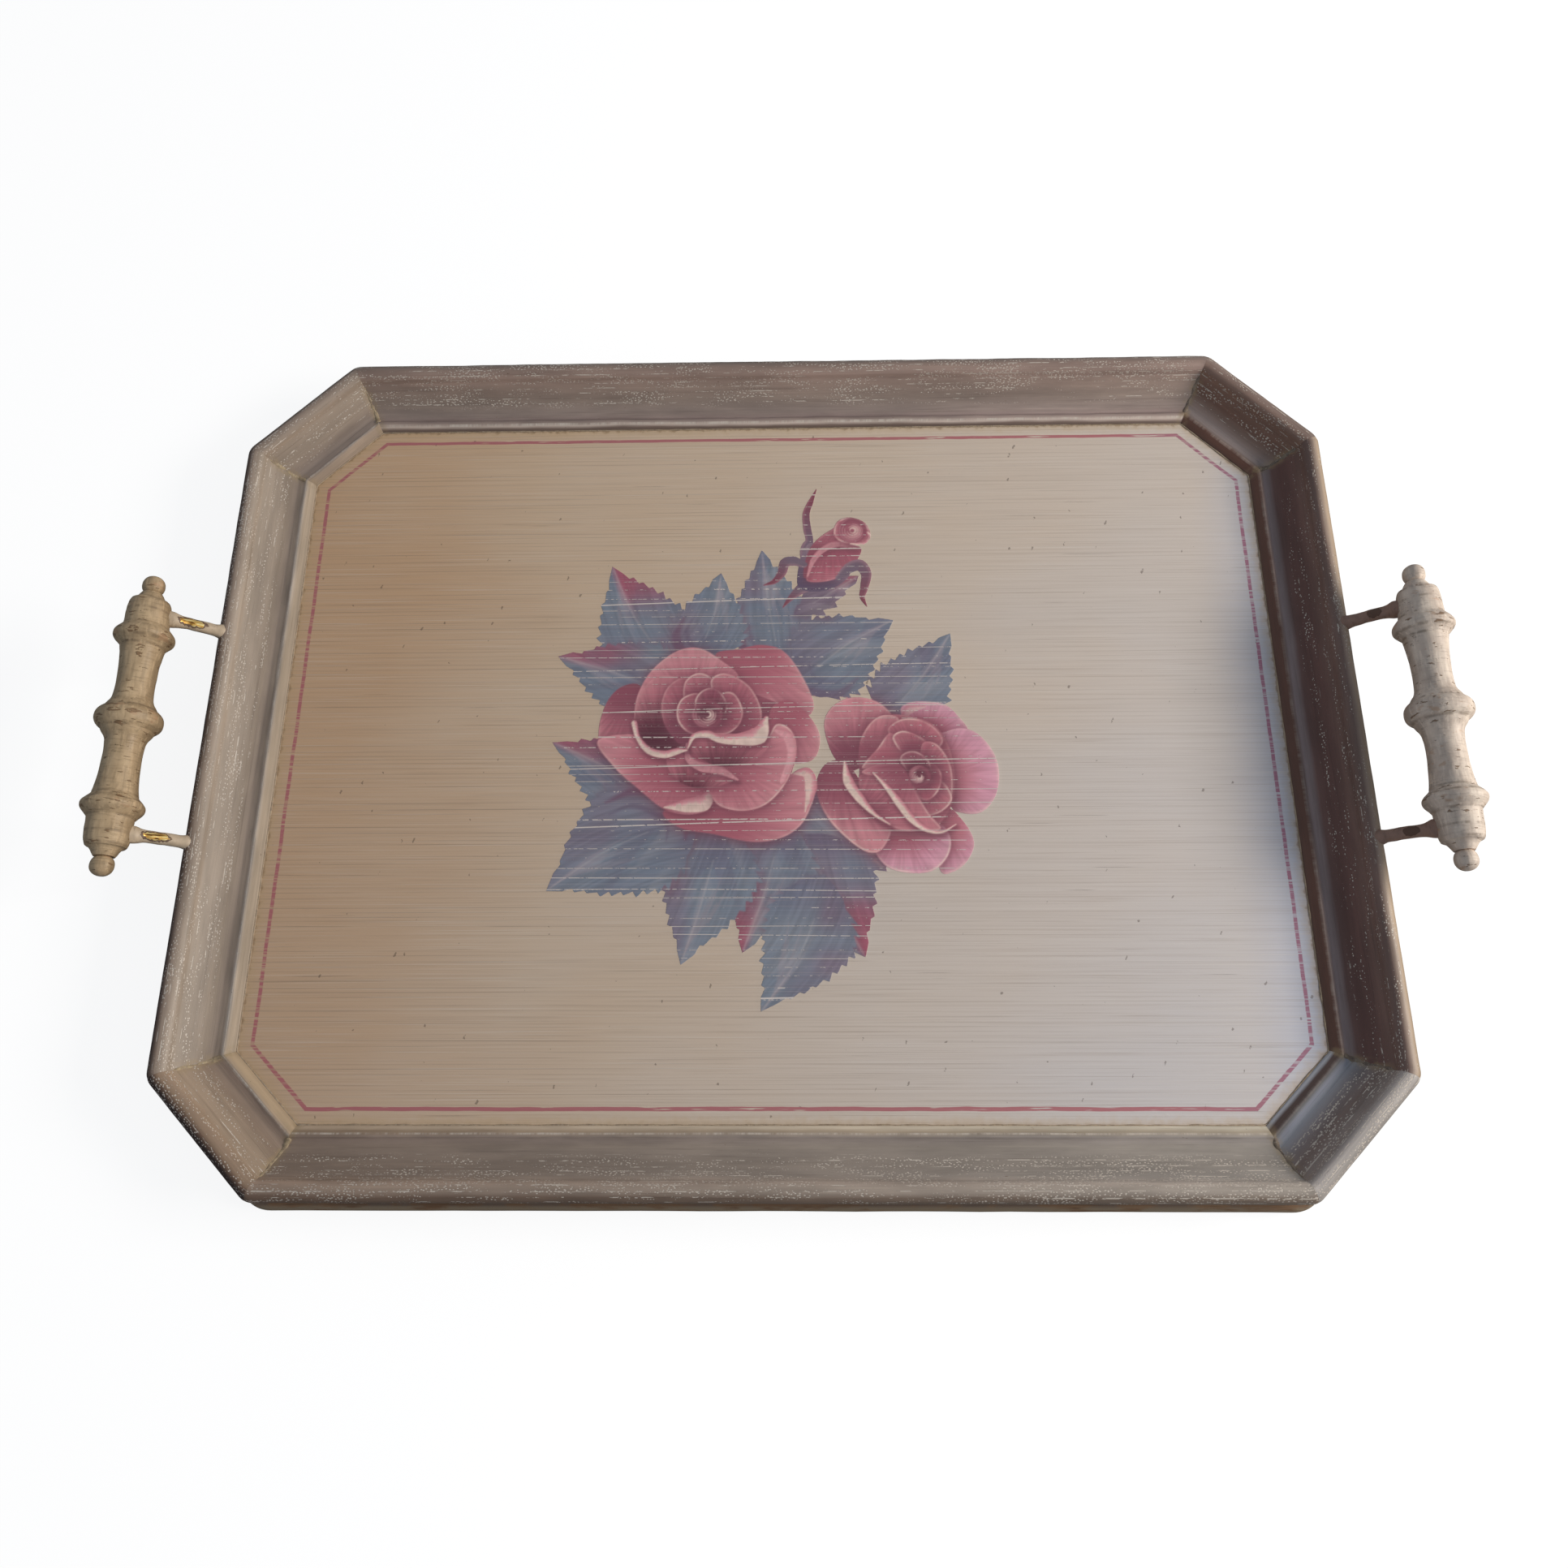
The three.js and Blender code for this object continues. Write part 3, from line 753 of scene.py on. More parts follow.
def paint_small_rose(canvas):
    """The rose on the right, turned a little away."""
    put, curl = partial(petal, canvas), partial(lip, canvas)
    put([(55, 15), (59, 19), (67, 19.5), (75, 18), (81, 12), (84.5, 5), (74, 1), (60, 5)],
        (66, 2), MADDER, LILAC, 0.4, seed=21, shadow=0)
    curl([(57, 13), (59.5, 16), (66, 17)], [3, 4.5, 1], 0.6, shadow=0)
    put([(70, 0), (75, 5), (83, 6.5), (90, 3), (96, -6), (97.5, -16), (95, -26), (89, -32.5),
         (81, -33), (75, -28)], (70, -16), ROSE, LILAC, 0.5, seed=22)
    put([(74, -31), (81, -37), (85, -46), (82, -54), (76, -59), (70, -59), (69, -45)],
        (72, -38), ROSE, LILAC, 0.5, seed=23)
    put([(41, -46), (46, -56), (55, -59.5), (66, -59), (73, -53), (75, -45), (71, -38), (58, -34),
         (46, -35)], (54, -36), MADDER, LILAC, 0.8, seed=24)
    put([(20.5, 8), (24, 17), (32, 21.5), (41, 21), (48, 17), (51, 10), (42, -4), (34, -13),
         (25, -7)], (35, -12), WINE, FLUSH, 0.4, seed=25)
    put([(17, -18), (21, -10), (28, -8.5), (34, -14), (41, -28), (48, -36), (49, -42), (44, -50),
         (36, -49), (24, -38), (18, -27)], (26, -8), SHADE, FLUSH, 0.7, seed=26)
    put([(36, -12), (37, 2), (43, 11), (50, 13.5), (61, 12), (70, 8), (76, -2), (78, -16),
         (76.5, -28), (70, -38), (60, -41), (50, -40), (40, -32), (36, -22)],
        (56, -14), WINE, CARMINE, 0.4, seed=27)
    put([(36, -12), (36.5, 0), (41, 9), (47, 13), (54, 11.5), (52, 4), (44, -4), (39, -12)],
        (42, -10), SHADE, ROSE, 0.6, seed=28)
    put([(49, 6), (55, 11), (63, 11), (70, 7), (73.5, 0), (66, -6), (54, -2)],
        (60, -5), WINE, CARMINE, 0.85, seed=29)
    put([(37, -12), (44, -3), (50, 4.5), (55, -1), (55, -8), (47, -10)],
        (48, -10), MADDER, ROSE, 0.9, seed=30)
    put([(51, 2), (55, 5.5), (61, 4), (67, -1), (64, -8), (56, -6)],
        (60, -8), WINE, MADDER, 0.9, seed=31)
    put([(64, -1), (70, -0.5), (75, -7), (77, -15), (76, -26), (70, -25), (64, -14)],
        (63, -14), WINE, CARMINE, 0.9, seed=32)
    put([(56, -20), (58, -30), (65, -34), (72, -32), (76.5, -26), (72, -18), (62, -16)],
        (63, -16), WINE, CARMINE, 0.9, seed=33)
    put([(59, -16), (61, -25), (66, -27), (71, -22), (72, -14), (66, -9)],
        (64, -14), WINE, MADDER, 0.9, seed=34)
    put([(54, -8), (57, -4.5), (62, -4.5), (67, -9), (68, -17), (63, -21), (58, -15)],
        (62, -16), INK, SHADE, 0.8, seed=35)
    heart(canvas, (62.5, -16), 5.0, 1.2)
    put([(36, -16), (41, -15), (47, -18), (52, -27), (58, -36), (61, -40.5), (52, -40), (43, -34),
         (37, -26)], (32, -38), WINE, CARMINE, 0.2, seed=36)
    put([(37, -14), (43, -10.5), (51, -9), (56, -13), (60, -22), (66, -33), (71, -40), (63, -40),
         (56, -33), (50, -25), (45, -17)], (60, -8), SHADE, blend(ROSE, CARMINE, 0.4), 0.5, seed=37)
    curl([(42, -14), (48, -21), (53, -28), (58, -35), (64, -40), (71, -41.5), (77.5, -38)],
         [0.6, 2.2, 3.6, 3.4, 2.2, 1.2, 0.5])
    curl([(29.5, -9), (31, -18), (36, -26), (42, -33), (49, -38)], [1, 4.6, 4, 1.8, 0.5])


def sepal(canvas, points, widths):
    """A thin curved leaf of the bud's cup, reddest at its tip."""

    def tint(along, across):
        colour = blend(PLUM * 0.92, TIP_RED * 0.8, ease(along, 0.2, 1))
        return blend(colour, BLUSH, 0.3 * ease(across, 0.2, 0.9))

    canvas.stroke(points, widths, tint, 1.0, soft=0.3, grow=True)


def paint_bud(canvas):
    """A half-open bud on its sepals."""
    put, curl, spike = partial(petal, canvas), partial(lip, canvas), partial(sepal, canvas)
    spike([(15, 84), (13, 96), (14.5, 102), (13.5, 108), (13, 116), (15, 122), (18, 129.5)],
          [7, 6, 3.6, 3.8, 3.4, 2.8, 0.4])
    spike([(16, 80), (10, 76), (5, 71), (2, 67)], [8, 5, 2.4, 0.4])
    put([(9, 78), (10, 91), (14, 100), (20, 98), (32, 88), (33, 83), (26, 77), (16, 75)],
        (14, 76), DUSK, PLUM, 0.0, shadow=0)
    put([(12, 82), (13, 93), (17, 101), (24, 107), (31, 110), (36, 102), (30, 96), (20, 88)],
        (14, 88), SHADE, CARMINE, 0.4, seed=41, shadow=0.2)
    put([(13, 81), (16, 90), (22, 97), (30, 100), (37, 99), (39, 96), (35, 88), (30, 83), (21, 80)],
        (24, 108), SHADE, blend(ROSE, TIP_RED, 0.5), 0.3, seed=42, shadow=0.2)
    curl([(13.5, 83), (16, 91), (21, 97), (28, 100), (36, 98.5), (43, 98)],
         [0.8, 2.6, 3, 3.4, 3, 2], 0.85, BLUSH - 6, shadow=0.3)
    put([(26, 106), (28, 112), (34, 114), (41, 111), (43.5, 104), (40, 99.5), (33, 100), (28, 102)],
        (35, 107), WINE, CARMINE, 0.9, seed=43)
    heart(canvas, (35, 107), 6.6, 2.0, deep=blend(WINE, CARMINE, 0.6), sweep=4.0, pale=CREAM - 8)
    curl([(34, 100), (41, 99.5), (44.5, 102), (42, 106)], [0.8, 3, 2.6, 0.8], 0.9, shadow=0.2)
    spike([(28, 82), (33, 87), (38, 88.5), (41, 84), (40, 77), (39, 72), (41, 67)],
          [3, 5.5, 6, 5, 3.8, 2.6, 0.4])
    spike([(12, 89), (7, 91), (3, 90), (1.5, 85), (-2, 80.5), (-7, 78.5)], [3, 5, 5, 4.2, 2.6, 0.4])


def leaf(canvas, base, tip, width, seed, red=0.0, flip=1, bend=0.0, fold=0.0, teeth=None, plum=0.0):
    """A serrated leaf, slate on one side of its midrib and plum on the other.

    red tints its tip, plum its whole face, bend curves its midrib, and fold shades a curled base."""
    base, tip = np.array(base, float), np.array(tip, float)
    axis = tip - base
    length = np.linalg.norm(axis)
    across = np.array([-axis[1], axis[0]]) / length
    teeth = teeth or int(length / 5.6)

    def spine(u):
        u = np.asarray(u, float)
        return base + axis * u[..., None] + across * (bend * length * np.sin(math.pi * u))[..., None]

    def half_width(u):
        rise = np.sin(0.5 * math.pi * np.clip(u / 0.4, 0, 1)) ** 0.75
        fade = np.clip((u - 0.4) / 0.6, 0, 1)
        fall = (1 - fade**1.35) * (1 - 0.4 * ease(fade, 0.55, 1.0))
        return 0.5 * width * rise * fall

    sides = []
    for sign in (1, -1):
        u, w = [0.0], [0.0]
        for k in range(teeth):
            start, stop = 0.16 + 0.76 * k / teeth, 0.16 + 0.76 * (k + 0.94) / teeth
            bite = 3.3 * (1 - 0.6 * k / teeth) * (1 + 0.4 * math.sin(seed + 2.3 * k + sign))
            if k == 0:
                u += [0.05, 0.11]
                w += [float(half_width(0.05)), float(half_width(0.11))]
            u += [start, stop]
            w += [float(half_width(start)) - bite * 0.3, float(half_width(stop)) + bite * 0.7]
        u.append(1.0)
        w.append(0.0)
        u, w = np.array(u), np.array(w)
        sides.append(spine(u) + across * (sign * w)[:, None])
    outline = np.vstack([sides[0], sides[1][-2:0:-1]])

    def shade(x, y, depth):
        ahead = ((x - base[0]) * axis[0] + (y - base[1]) * axis[1]) / length**2
        aside = (x - base[0]) * across[0] + (y - base[1]) * across[1]
        aside = aside - bend * length * np.sin(math.pi * np.clip(ahead, 0, 1))
        side = flip * aside
        cool = blend(SLATE, TEAL, 0.5 + 0.5 * smooth_noise(x / 14, y / 14, 93))
        mottle = 0.5 + 0.7 * smooth_noise(x / 11 + seed, y / 11, 98)
        colour = blend(cool, PLUM, np.clip(0.62 * ease(side, -2, 5) * mottle, 0, 1))
        colour = blend(blend(colour, PLUM * 0.95, plum), DUSK, 0.5 * ease(ahead, 0.4, -0.05))
        if red:
            reddish = red * ease(ahead + 0.1 * mottle, 0.5, 0.95) * ease(side, -3, 2)
            colour = blend(colour, TIP_RED, reddish)
        veins = smooth_noise(ahead * 7 - np.abs(aside) / 6 + seed, aside / 30, 94)
        colour = blend(colour, PALE_LEAF, 0.2 * ease(veins, 0.2, 0.9) * ease(-side, -6, 2))
        colour = blend(colour, DUSK, 0.22 * ease(veins, -0.3, -0.9))
        fine = smooth_noise(ahead * 4 + aside / 9 + seed, aside / 0.9 + ahead * 9, 95)
        return colour * (1 + 0.06 * fine)[..., None]

    canvas.lay(outline, shade, shadow=0.25, reach=1.6, soft=0.25)
    # pale strokes from the tip, on the cool side of the midrib
    for k in range(9):
        far = 0.98 - 0.035 * k
        near = 0.40 + 0.08 * ((k * 7 + seed) % 4)
        drift = -flip * (1.2 * k - 1.6)
        points = [spine(u) + across * drift * (1.02 - u) * 2.0 for u in (near, (near + far) / 2, far)]
        tint = blend(PALE_LEAF, BLUSH, 0.25 + 0.2 * ((k + seed) % 3))
        canvas.stroke(points, [0.3, 1.1, 0.5], tint, 0.18, soft=0.6)
    midrib = [spine(u) for u in (0.3, 0.6, 0.97)]
    canvas.stroke(midrib, [0.4, 0.8, 0.5], PALE_LEAF, 0.34, soft=0.4)
    if fold:
        side = math.copysign(1, fold)
        curl = [spine(u) + across * side * float(half_width(u)) * share
                for u, share in ((0.45, 0.8), (0.24, 0.88), (0.08, 0.7), (0.06, 0.0), (0.12, -0.6))]
        tint = blend(DUSK, TIP_RED, 0.25)
        canvas.stroke(curl, [0.8, 4.2, 4.6, 3.4, 0.8], tint, abs(fold) * 0.8, soft=1.2)
        inner = [point * 0.72 + spine(0.5) * 0.28 for point in curl]
        canvas.stroke(inner, [0.5, 2.2, 2.4, 1.6, 0.5], DUSK, abs(fold) * 0.45, soft=0.9)


LEAVES = [
    dict(base=(-44, 32), tip=(-78.5, 89), width=44, seed=1, red=0.9, flip=-1, bend=0.06),
    dict(base=(-38, 18), tip=(-101.5, 43), width=40, seed=2, red=0.8, flip=-1, bend=-0.03),
    dict(base=(3, 30), tip=(-8, 97), width=38, seed=4, flip=1, bend=0.02, fold=0.8),
    dict(base=(-40, 38), tip=(-27, 85), width=34, seed=3, flip=1, bend=-0.06, fold=0.9),
    dict(base=(8, 26), tip=(53, 60), width=42, seed=5, flip=1, bend=0.06, fold=-0.5),
    dict(base=(44, 8), tip=(79, 53), width=35, seed=6, flip=1, bend=-0.04),
    dict(base=(7, 63), tip=(37.5, 83), width=13, seed=14, red=0.8, flip=1, teeth=4, plum=0.9),
    dict(base=(-46, -34), tip=(-101.5, 1), width=38, seed=7, red=0.8, flip=-1, bend=-0.05),
    dict(base=(4, -24), tip=(47, -59), width=40, seed=13, flip=1, bend=0.03, fold=0.5),
    dict(base=(12, -42), tip=(37, -96), width=46, seed=11, red=0.9, flip=1, bend=-0.03),
    dict(base=(2, -34), tip=(-15, -94), width=40, seed=10, red=0.9, flip=-1, bend=0.03),
    dict(base=(-24, -34), tip=(-41, -99), width=42, seed=9, flip=-1, bend=0.02),
    dict(base=(-36, -34), tip=(-100, -67), width=52, seed=8, flip=-1, bend=-0.06, fold=-1.0),
    dict(base=(20, -60), tip=(-7, -118.5), width=40, seed=12, flip=1, bend=0.08),
]


def paint_bouquet(canvas):
    """The whole bouquet, from the lowest leaf to the bud. Each part claims what it covers."""
    for shape in LEAVES:
        leaf(canvas, **shape)
    canvas.current = 1
    paint_bud(canvas)
    canvas.current = 2
    paint_small_rose(canvas)
    canvas.current = 3
    paint_large_rose(canvas)


PAINTED_PARTS = [("painted_leaves", (-110, -126), (106, 106), 0.5),
                 ("painted_bud", (-22, 60), (54, 134), 0.42),
                 ("painted_rose_small", (8, -70), (108, 28), 0.42),
                 ("painted_rose_large", (-88, -56), (28, 54), 0.42)]


def spread(mask, cells):
    """The mask grown by a number of cells along both axes."""
    grown = mask.copy()
    for axis in (0, 1):
        for shift in range(1, cells + 1):
            grown |= np.roll(mask, shift, axis) | np.roll(mask, -shift, axis)
        mask = grown.copy()
    return grown


def painted_film(number, material):
    """One part of the bouquet as a film of paint on the panel."""
    name, low, high, pitch = PAINTED_PARTS[number]
    canvas = Canvas(low, high, pitch)
    paint_bouquet(canvas)
    shown = spread((canvas.owner == number) & (canvas.edge < 1.0), 2)
    cells = shown[:-1, :-1] & shown[1:, :-1] & shown[:-1, 1:] & shown[1:, 1:]
    rows, columns = np.nonzero(cells)
    width = canvas.x.shape[1]
    first = rows * width + columns
    faces = np.stack([first, first + 1, first + width + 1, first + width], axis=1)
    used, renumbered = np.unique(faces, return_inverse=True)
    faces = renumbered.reshape(faces.shape)
    x, y = canvas.x.ravel()[used], canvas.y.ravel()[used]
    edge = canvas.edge.ravel()[used]
    display = np.clip(canvas.colour.reshape(-1, 3)[used] / 255, 0, 1)
    body = FILM_THICK + FILM_STEP * number + FILM_BODY * (display.mean(axis=1) - 0.5)
    z = PANEL_Z + comb_height(x, y) + body * ease(-edge, -1.5, 0.4) + FILM_LIFT
    colour = np.column_stack([linear_light(display) * PAINT_GAIN, np.ones(len(used))])
    cover = np.clip(0.5 - edge / 2, 0, 1)
    mesh_piece(name, np.column_stack([x, y, z]), faces, material, sharp=180,
               attributes=[("paint", "FLOAT_COLOR", colour), ("cover", "FLOAT", cover)])


def bouquet_material():
    """The bouquet's colours over the ground, skipped and scratched along the brush rows."""
    g = Graph("bouquet_paint")
    x, y, _ = g.place_mm()
    ground, relief = ground_paint(g, x, y)
    paint = g.attribute("paint", "Color")
    cover = g.attribute("cover", "Fac")
    ragged = g.noise(x * 0.9, y * 1.4, 71.0, detail=2)
    mask = g.step(cover + (ragged - 0.5) * 0.16, 0.46, 0.54)
    # thin cream lines where the brush rows stood proud and were rubbed through
    force = g.noise(x * 0.004, y * 0.14, 35.0, detail=2)
    dashes = g.noise(x * 0.34, y * 0.5, 37.0, detail=3, roughness=0.7)
    worn = g.step(dashes + (force - 0.5) * 0.9, 0.5, 0.54)
    light_rows = brush_rows(g, x, y, 4.3, 0.16, 61.0) * worn
    scored = g.step(dashes + (force - 0.5) * 0.6, 0.36, 0.42)
    deep_rows = brush_rows(g, x, y, 27.0, 0.24, 62.0) * scored
    dots = g.noise(x * 0.6, y * 1.9, 39.0, detail=2)
    scratch = g.most(light_rows, g.most(deep_rows, g.step(dots, 0.735, 0.76)))
    broad, fine = comb(g, x, y)
    paint = g.mix(g.step(broad, 0.6, 0.36) * 0.14, paint, DRAGGED_DARK)
    paint = g.mix(g.step(fine, 0.52, 0.7) * 0.14, paint, DRAGGED_PALE)
    bare = g.mix(0.75, ground, SCRATCHED_BARE)
    painted = g.mix(scratch * 0.85, paint, bare)
    colour = g.mix(mask, ground, painted)
    relief = relief + (mask - scratch * mask) * 0.8
    return g.finish(colour, rubbed_roughness(g, x, y, 0.4), relief, depth=PAINT_RELIEF)


# ---------------------------------------------------------------- board
BOARD_DARK, BOARD_BROWN, BOARD_TAN = (0.13, 0.065, 0.03), (0.25, 0.14, 0.07), (0.36, 0.22, 0.12)
BOARD_PORE = (0.06, 0.032, 0.018)
BOARD_STAIN = (0.11, 0.075, 0.05)
BOARD_SMEAR = (0.15, 0.12, 0.1)
BOARD_LIP_PAINT = (0.31, 0.235, 0.155)


def board_material():
    """Stained brown wood, with the rails' paint smeared on its upper edge and its lip."""
    g = Graph("board_wood")
    x, y, z = g.place_mm()
    grain = g.noise(x * 0.006, y * 0.16, z * 0.4, detail=5, roughness=0.65, warp=0.4)
    pores = g.noise(x * 0.05, y * 2.2, z * 1.5, detail=3)
    colour = g.ramp(grain, [(0.3, BOARD_DARK), (0.5, BOARD_BROWN), (0.7, BOARD_TAN)])
    colour = g.mix(g.step(pores, 0.62, 0.72) * 0.6, colour, BOARD_PORE)
    stain = g.noise(x * 0.02, y * 0.02, z * 0.1, detail=4)
    colour = g.mix(g.step(stain, 0.5, 0.7) * 0.4, colour, BOARD_STAIN)
    smear = g.noise(x * 0.08, y * 0.08, z * 0.5, detail=4)
    paint = g.step(z, 5.6, 7.2) * g.step(smear, 0.45, 0.6)
    colour = g.mix(paint * 0.6, colour, BOARD_SMEAR)
    past_rails = g.step(edge_distance(g, x, y), -RAIL_OUT - 0.8, -RAIL_OUT - 2.3)
    edge = past_rails * g.step(smear, 0.3, 0.5)
    colour = g.mix(edge * 0.85, colour, BOARD_LIP_PAINT)
    return g.finish(colour, 0.55 + pores * 0.25, grain - pores, depth=0.15)


def rounded_octagon(out, softening, per_corner=7):
    """An octagon whose corners are eased, with its straight sides cut into short runs."""
    longest = 12
    corners = octagon(out)
    outline = []
    neighbours = zip(np.roll(corners, 1, axis=0), np.roll(corners, -1, axis=0))
    for corner, (before, after) in zip(corners, neighbours):
        towards_before = (before - corner) * softening / np.linalg.norm(before - corner)
        towards_after = (after - corner) * softening / np.linalg.norm(after - corner)
        enter, leave = corner + towards_before, corner + towards_after
        outline.append(enter)
        outline.extend(quad_curve(enter, corner, leave, per_corner))
        straight = after - towards_after - leave
        pieces = max(2, int(np.linalg.norm(straight) / longest))
        outline.extend(leave + straight * k / pieces for k in range(1, pieces))
    return np.array(outline)


def board_rings():
    """The board's rounded edge: closed rings of points, from its underside to its top."""
    steps = np.linspace(0, math.pi / 2, 7)
    profile = [(BOARD_ROUND * (math.sin(a) - 1), BOARD_ROUND * (1 - math.cos(a))) for a in steps]
    profile += [(inset, PANEL_Z - z) for inset, z in profile[::-1]]
    rings = []
    for number, (inset, z) in enumerate(profile):
        ring = rounded_octagon(RAIL_OUT + BOARD_LIP + inset, 6)
        dent = 0.14 * smooth_noise(run_round(ring) / 16, z / 3, 31) - 0.14
        if number in (0, len(profile) - 1):
            dent = 0 * dent
        away = ring / np.linalg.norm(ring, axis=1)[:, None]
        rings.append(np.column_stack([ring + away * dent[:, None], np.full(len(ring), z)]))
    return rings


def screw_sink(shape, centre, sides=24):
    """A recess in the board's underside for a screw's head. Returns the edges of its mouth."""
    mouth, floor = [], []
    for k in range(sides):
        turn = 2 * math.pi * k / sides
        spoke = np.array([math.cos(turn), math.sin(turn)])
        mouth.append(shape.verts.new((*(centre + SINK_MOUTH * spoke), 0.0)))
        floor.append(shape.verts.new((*(centre + SINK_FLOOR * spoke), SINK_DEPTH)))
    rim = []
    for k in range(sides):
        shape.faces.new([mouth[k - 1], floor[k - 1], floor[k], mouth[k]])
        rim.append(shape.edges.get((mouth[k - 1], mouth[k])))
    shape.faces.new(floor[::-1])
    return rim


def board(material):
    """The board, with its worn rounded edge and a recess round each screw's head."""
    rings = board_rings()
    count = len(rings[0])
    shape = bmesh.new()
    verts = [shape.verts.new(point) for point in np.vstack(rings)]
    for face in grid_faces(len(rings), count, wrap_columns=True):
        shape.faces.new([verts[i] for i in face])
    shape.faces.new(verts[-count:])
    rim = [shape.edges.get((verts[i], verts[(i + 1) % count])) for i in range(count)]
    for name in sorted(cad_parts):
        if name.startswith("screw_"):
            low, high = box_mm(name)
            rim += screw_sink(shape, (low[:2] + high[:2]) / 2)
    bmesh.ops.triangle_fill(shape, edges=rim, use_beauty=True)
    bmesh.ops.recalc_face_normals(shape, faces=shape.faces)
    shape.verts.index_update()
    points = [tuple(vert.co) for vert in shape.verts]
    faces = [[vert.index for vert in face.verts] for face in shape.faces]
    shape.free()
    mesh_piece("board", points, faces, material, ["base_board"], sharp=35)


# ---------------------------------------------------------------- rails
RUBBED_CREAM, RUBBED_WHITE = (0.58, 0.5, 0.42), (0.84, 0.76, 0.66)
OUTSIDE_DARK, OUTSIDE_BROWN = (0.17, 0.12, 0.09), (0.31, 0.235, 0.18)
CHIPPED_WOOD = (0.13, 0.07, 0.035)
MITRE_SMEAR = (0.4, 0.29, 0.15)
RAIL_FOOT_DARK = (0.12, 0.085, 0.06)
FILLET_CRUMB = (0.5, 0.44, 0.36)


def rail_section():
    """A rail's outline: distance out from the panel and height, from its foot over the bead."""
    foot = RAIL_FOOT
    bead_out, bead_up, bead_radius = BEAD["out"], BEAD["up"], BEAD["radius"]
    outline = [[(0.0, PANEL_Z), (0.0, foot + 0.2), (0.4, foot + 0.45), (1.2, foot + 0.9),
                (2.2, foot + 1.45), (3.3, foot + 2.0)]]
    outline.append(quad_curve((3.3, foot + 2.0), (4.2, foot + 2.5), (4.8, foot + 1.9), 6))
    outline.append(quad_curve((4.8, foot + 1.9), (5.6, foot + 1.2), (8.6, foot + 1.2), 12))
    outline.append(quad_curve((8.6, foot + 1.2), (15.4, foot + 4.6), (20.2, foot + 10.6), 20))
    outline.append([(20.45, foot + 11.2)])
    turn = np.radians(np.linspace(160, -35, 30))
    bead = np.stack([bead_out + bead_radius * np.cos(turn),
                     foot + bead_up + bead_radius * np.sin(turn)], axis=1)
    outline.append(bead)
    outer = bead[-1, 0]
    outline.append([(outer, z) for z in (foot + 6.0, foot + 3.0, PANEL_Z + 0.6, PANEL_Z)])
    return np.vstack(outline)


SECTION = rail_section()
SECTION_RUN = np.concatenate([[0], np.cumsum(np.linalg.norm(np.diff(SECTION, axis=0), axis=1))])


def eased_corner(gap):
    """How far a corner's rounding pulls the rail in, at a distance from the mitre."""
    start = CORNER_ROUND * MITRE
    short = np.clip(start - gap, 0, start)
    return CORNER_ROUND - np.sqrt(CORNER_ROUND**2 - short**2)


WEAR_SHIFT = 700  # between one rail's wear and the next one's


def rail_wear(out, run, place):
    """How far wear and old paint push a rail's surface out or in, in millimetres."""
    wear = 0.09 * smooth_noise(place / 11, run / 6, 41)
    wear = wear + 0.04 * smooth_noise(place / 3, run / 2, 42)
    arris = bump_at(out, ARRIS_OUT, 0.7) * (0.2 * smooth_noise(place / 6, run * 0, 43) - 0.1)
    crest = bump_at(out, BEAD["out"], 4.0) * 0.1 * smooth_noise(place / 22, run * 0, 44)
    return wear + arris + crest


def rail(number, material):
    """One rail, swept along its side and mitred at both ends."""
    corners = octagon(0)
    start, end = corners[number], corners[(number + 1) % 8]
    length = np.linalg.norm(end - start)
    ahead = (end - start) / length
    outward = np.array([ahead[1], -ahead[0]])
    near_mitre = np.array([0, 0.5, 1.1, 1.8, 2.6, 3.6]) / length
    middle_from, middle_step = 5 / length, 2.2
    middle = np.linspace(middle_from, 1 - middle_from, int(length / middle_step))
    t = np.concatenate([near_mitre, middle, 1 - near_mitre[::-1]])[:, None]
    stations = len(t)
    out, up = np.broadcast_arrays(SECTION[:, 0][None, :] + 0 * t, SECTION[:, 1][None, :])
    gap = np.minimum(t, 1 - t) * (length + 2 * out * MITRE)
    out = out - ease(out, 19.0, 26.0) * eased_corner(gap)
    along = -out * MITRE + MITRE_GAP + t * (length + 2 * out * MITRE - 2 * MITRE_GAP)
    slope = np.gradient(SECTION, axis=0)
    slope /= np.linalg.norm(slope, axis=1)[:, None]
    normal = np.stack([-slope[:, 1], slope[:, 0]], axis=1)
    run = SECTION_RUN[None, :]
    shift = rail_wear(out, run, along + WEAR_SHIFT * number)
    shift = shift * np.clip((up - PANEL_Z - 0.3) / 0.6, 0, 1) * ease(gap, 0.2, 2.5)
    shift = shift * np.clip((RAIL_OUT - 0.9 - out) / 2 + 1, 0.25, 1)
    out = out + normal[:, 0][None, :] * shift
    up = up + normal[:, 1][None, :] * shift
    flat = start[None, None, :] + ahead * along[..., None] + outward * out[..., None]
    points = np.concatenate([flat, up[..., None]], axis=2)
    count = len(SECTION)
    faces = grid_faces(stations, count, wrap_columns=True)[:, ::-1].tolist()
    faces.append(list(range(count)))
    faces.append([(stations - 1) * count + i for i in range(count)][::-1])
    pattern_shift = 13.7 * number
    lay = np.stack([along, run + 0 * out, pattern_shift + 0 * out], axis=-1)
    name = f"rail_{SIDE_NAMES[number]}"
    mesh_piece(f"{name}_moulding", points.reshape(-1, 3), faces, material, [name],
               sharp=60, attributes=[("lay", "FLOAT_VECTOR", lay), ("ends", "FLOAT", gap),
                                     ("out", "FLOAT", np.tile(SECTION[:, 0], stations))])
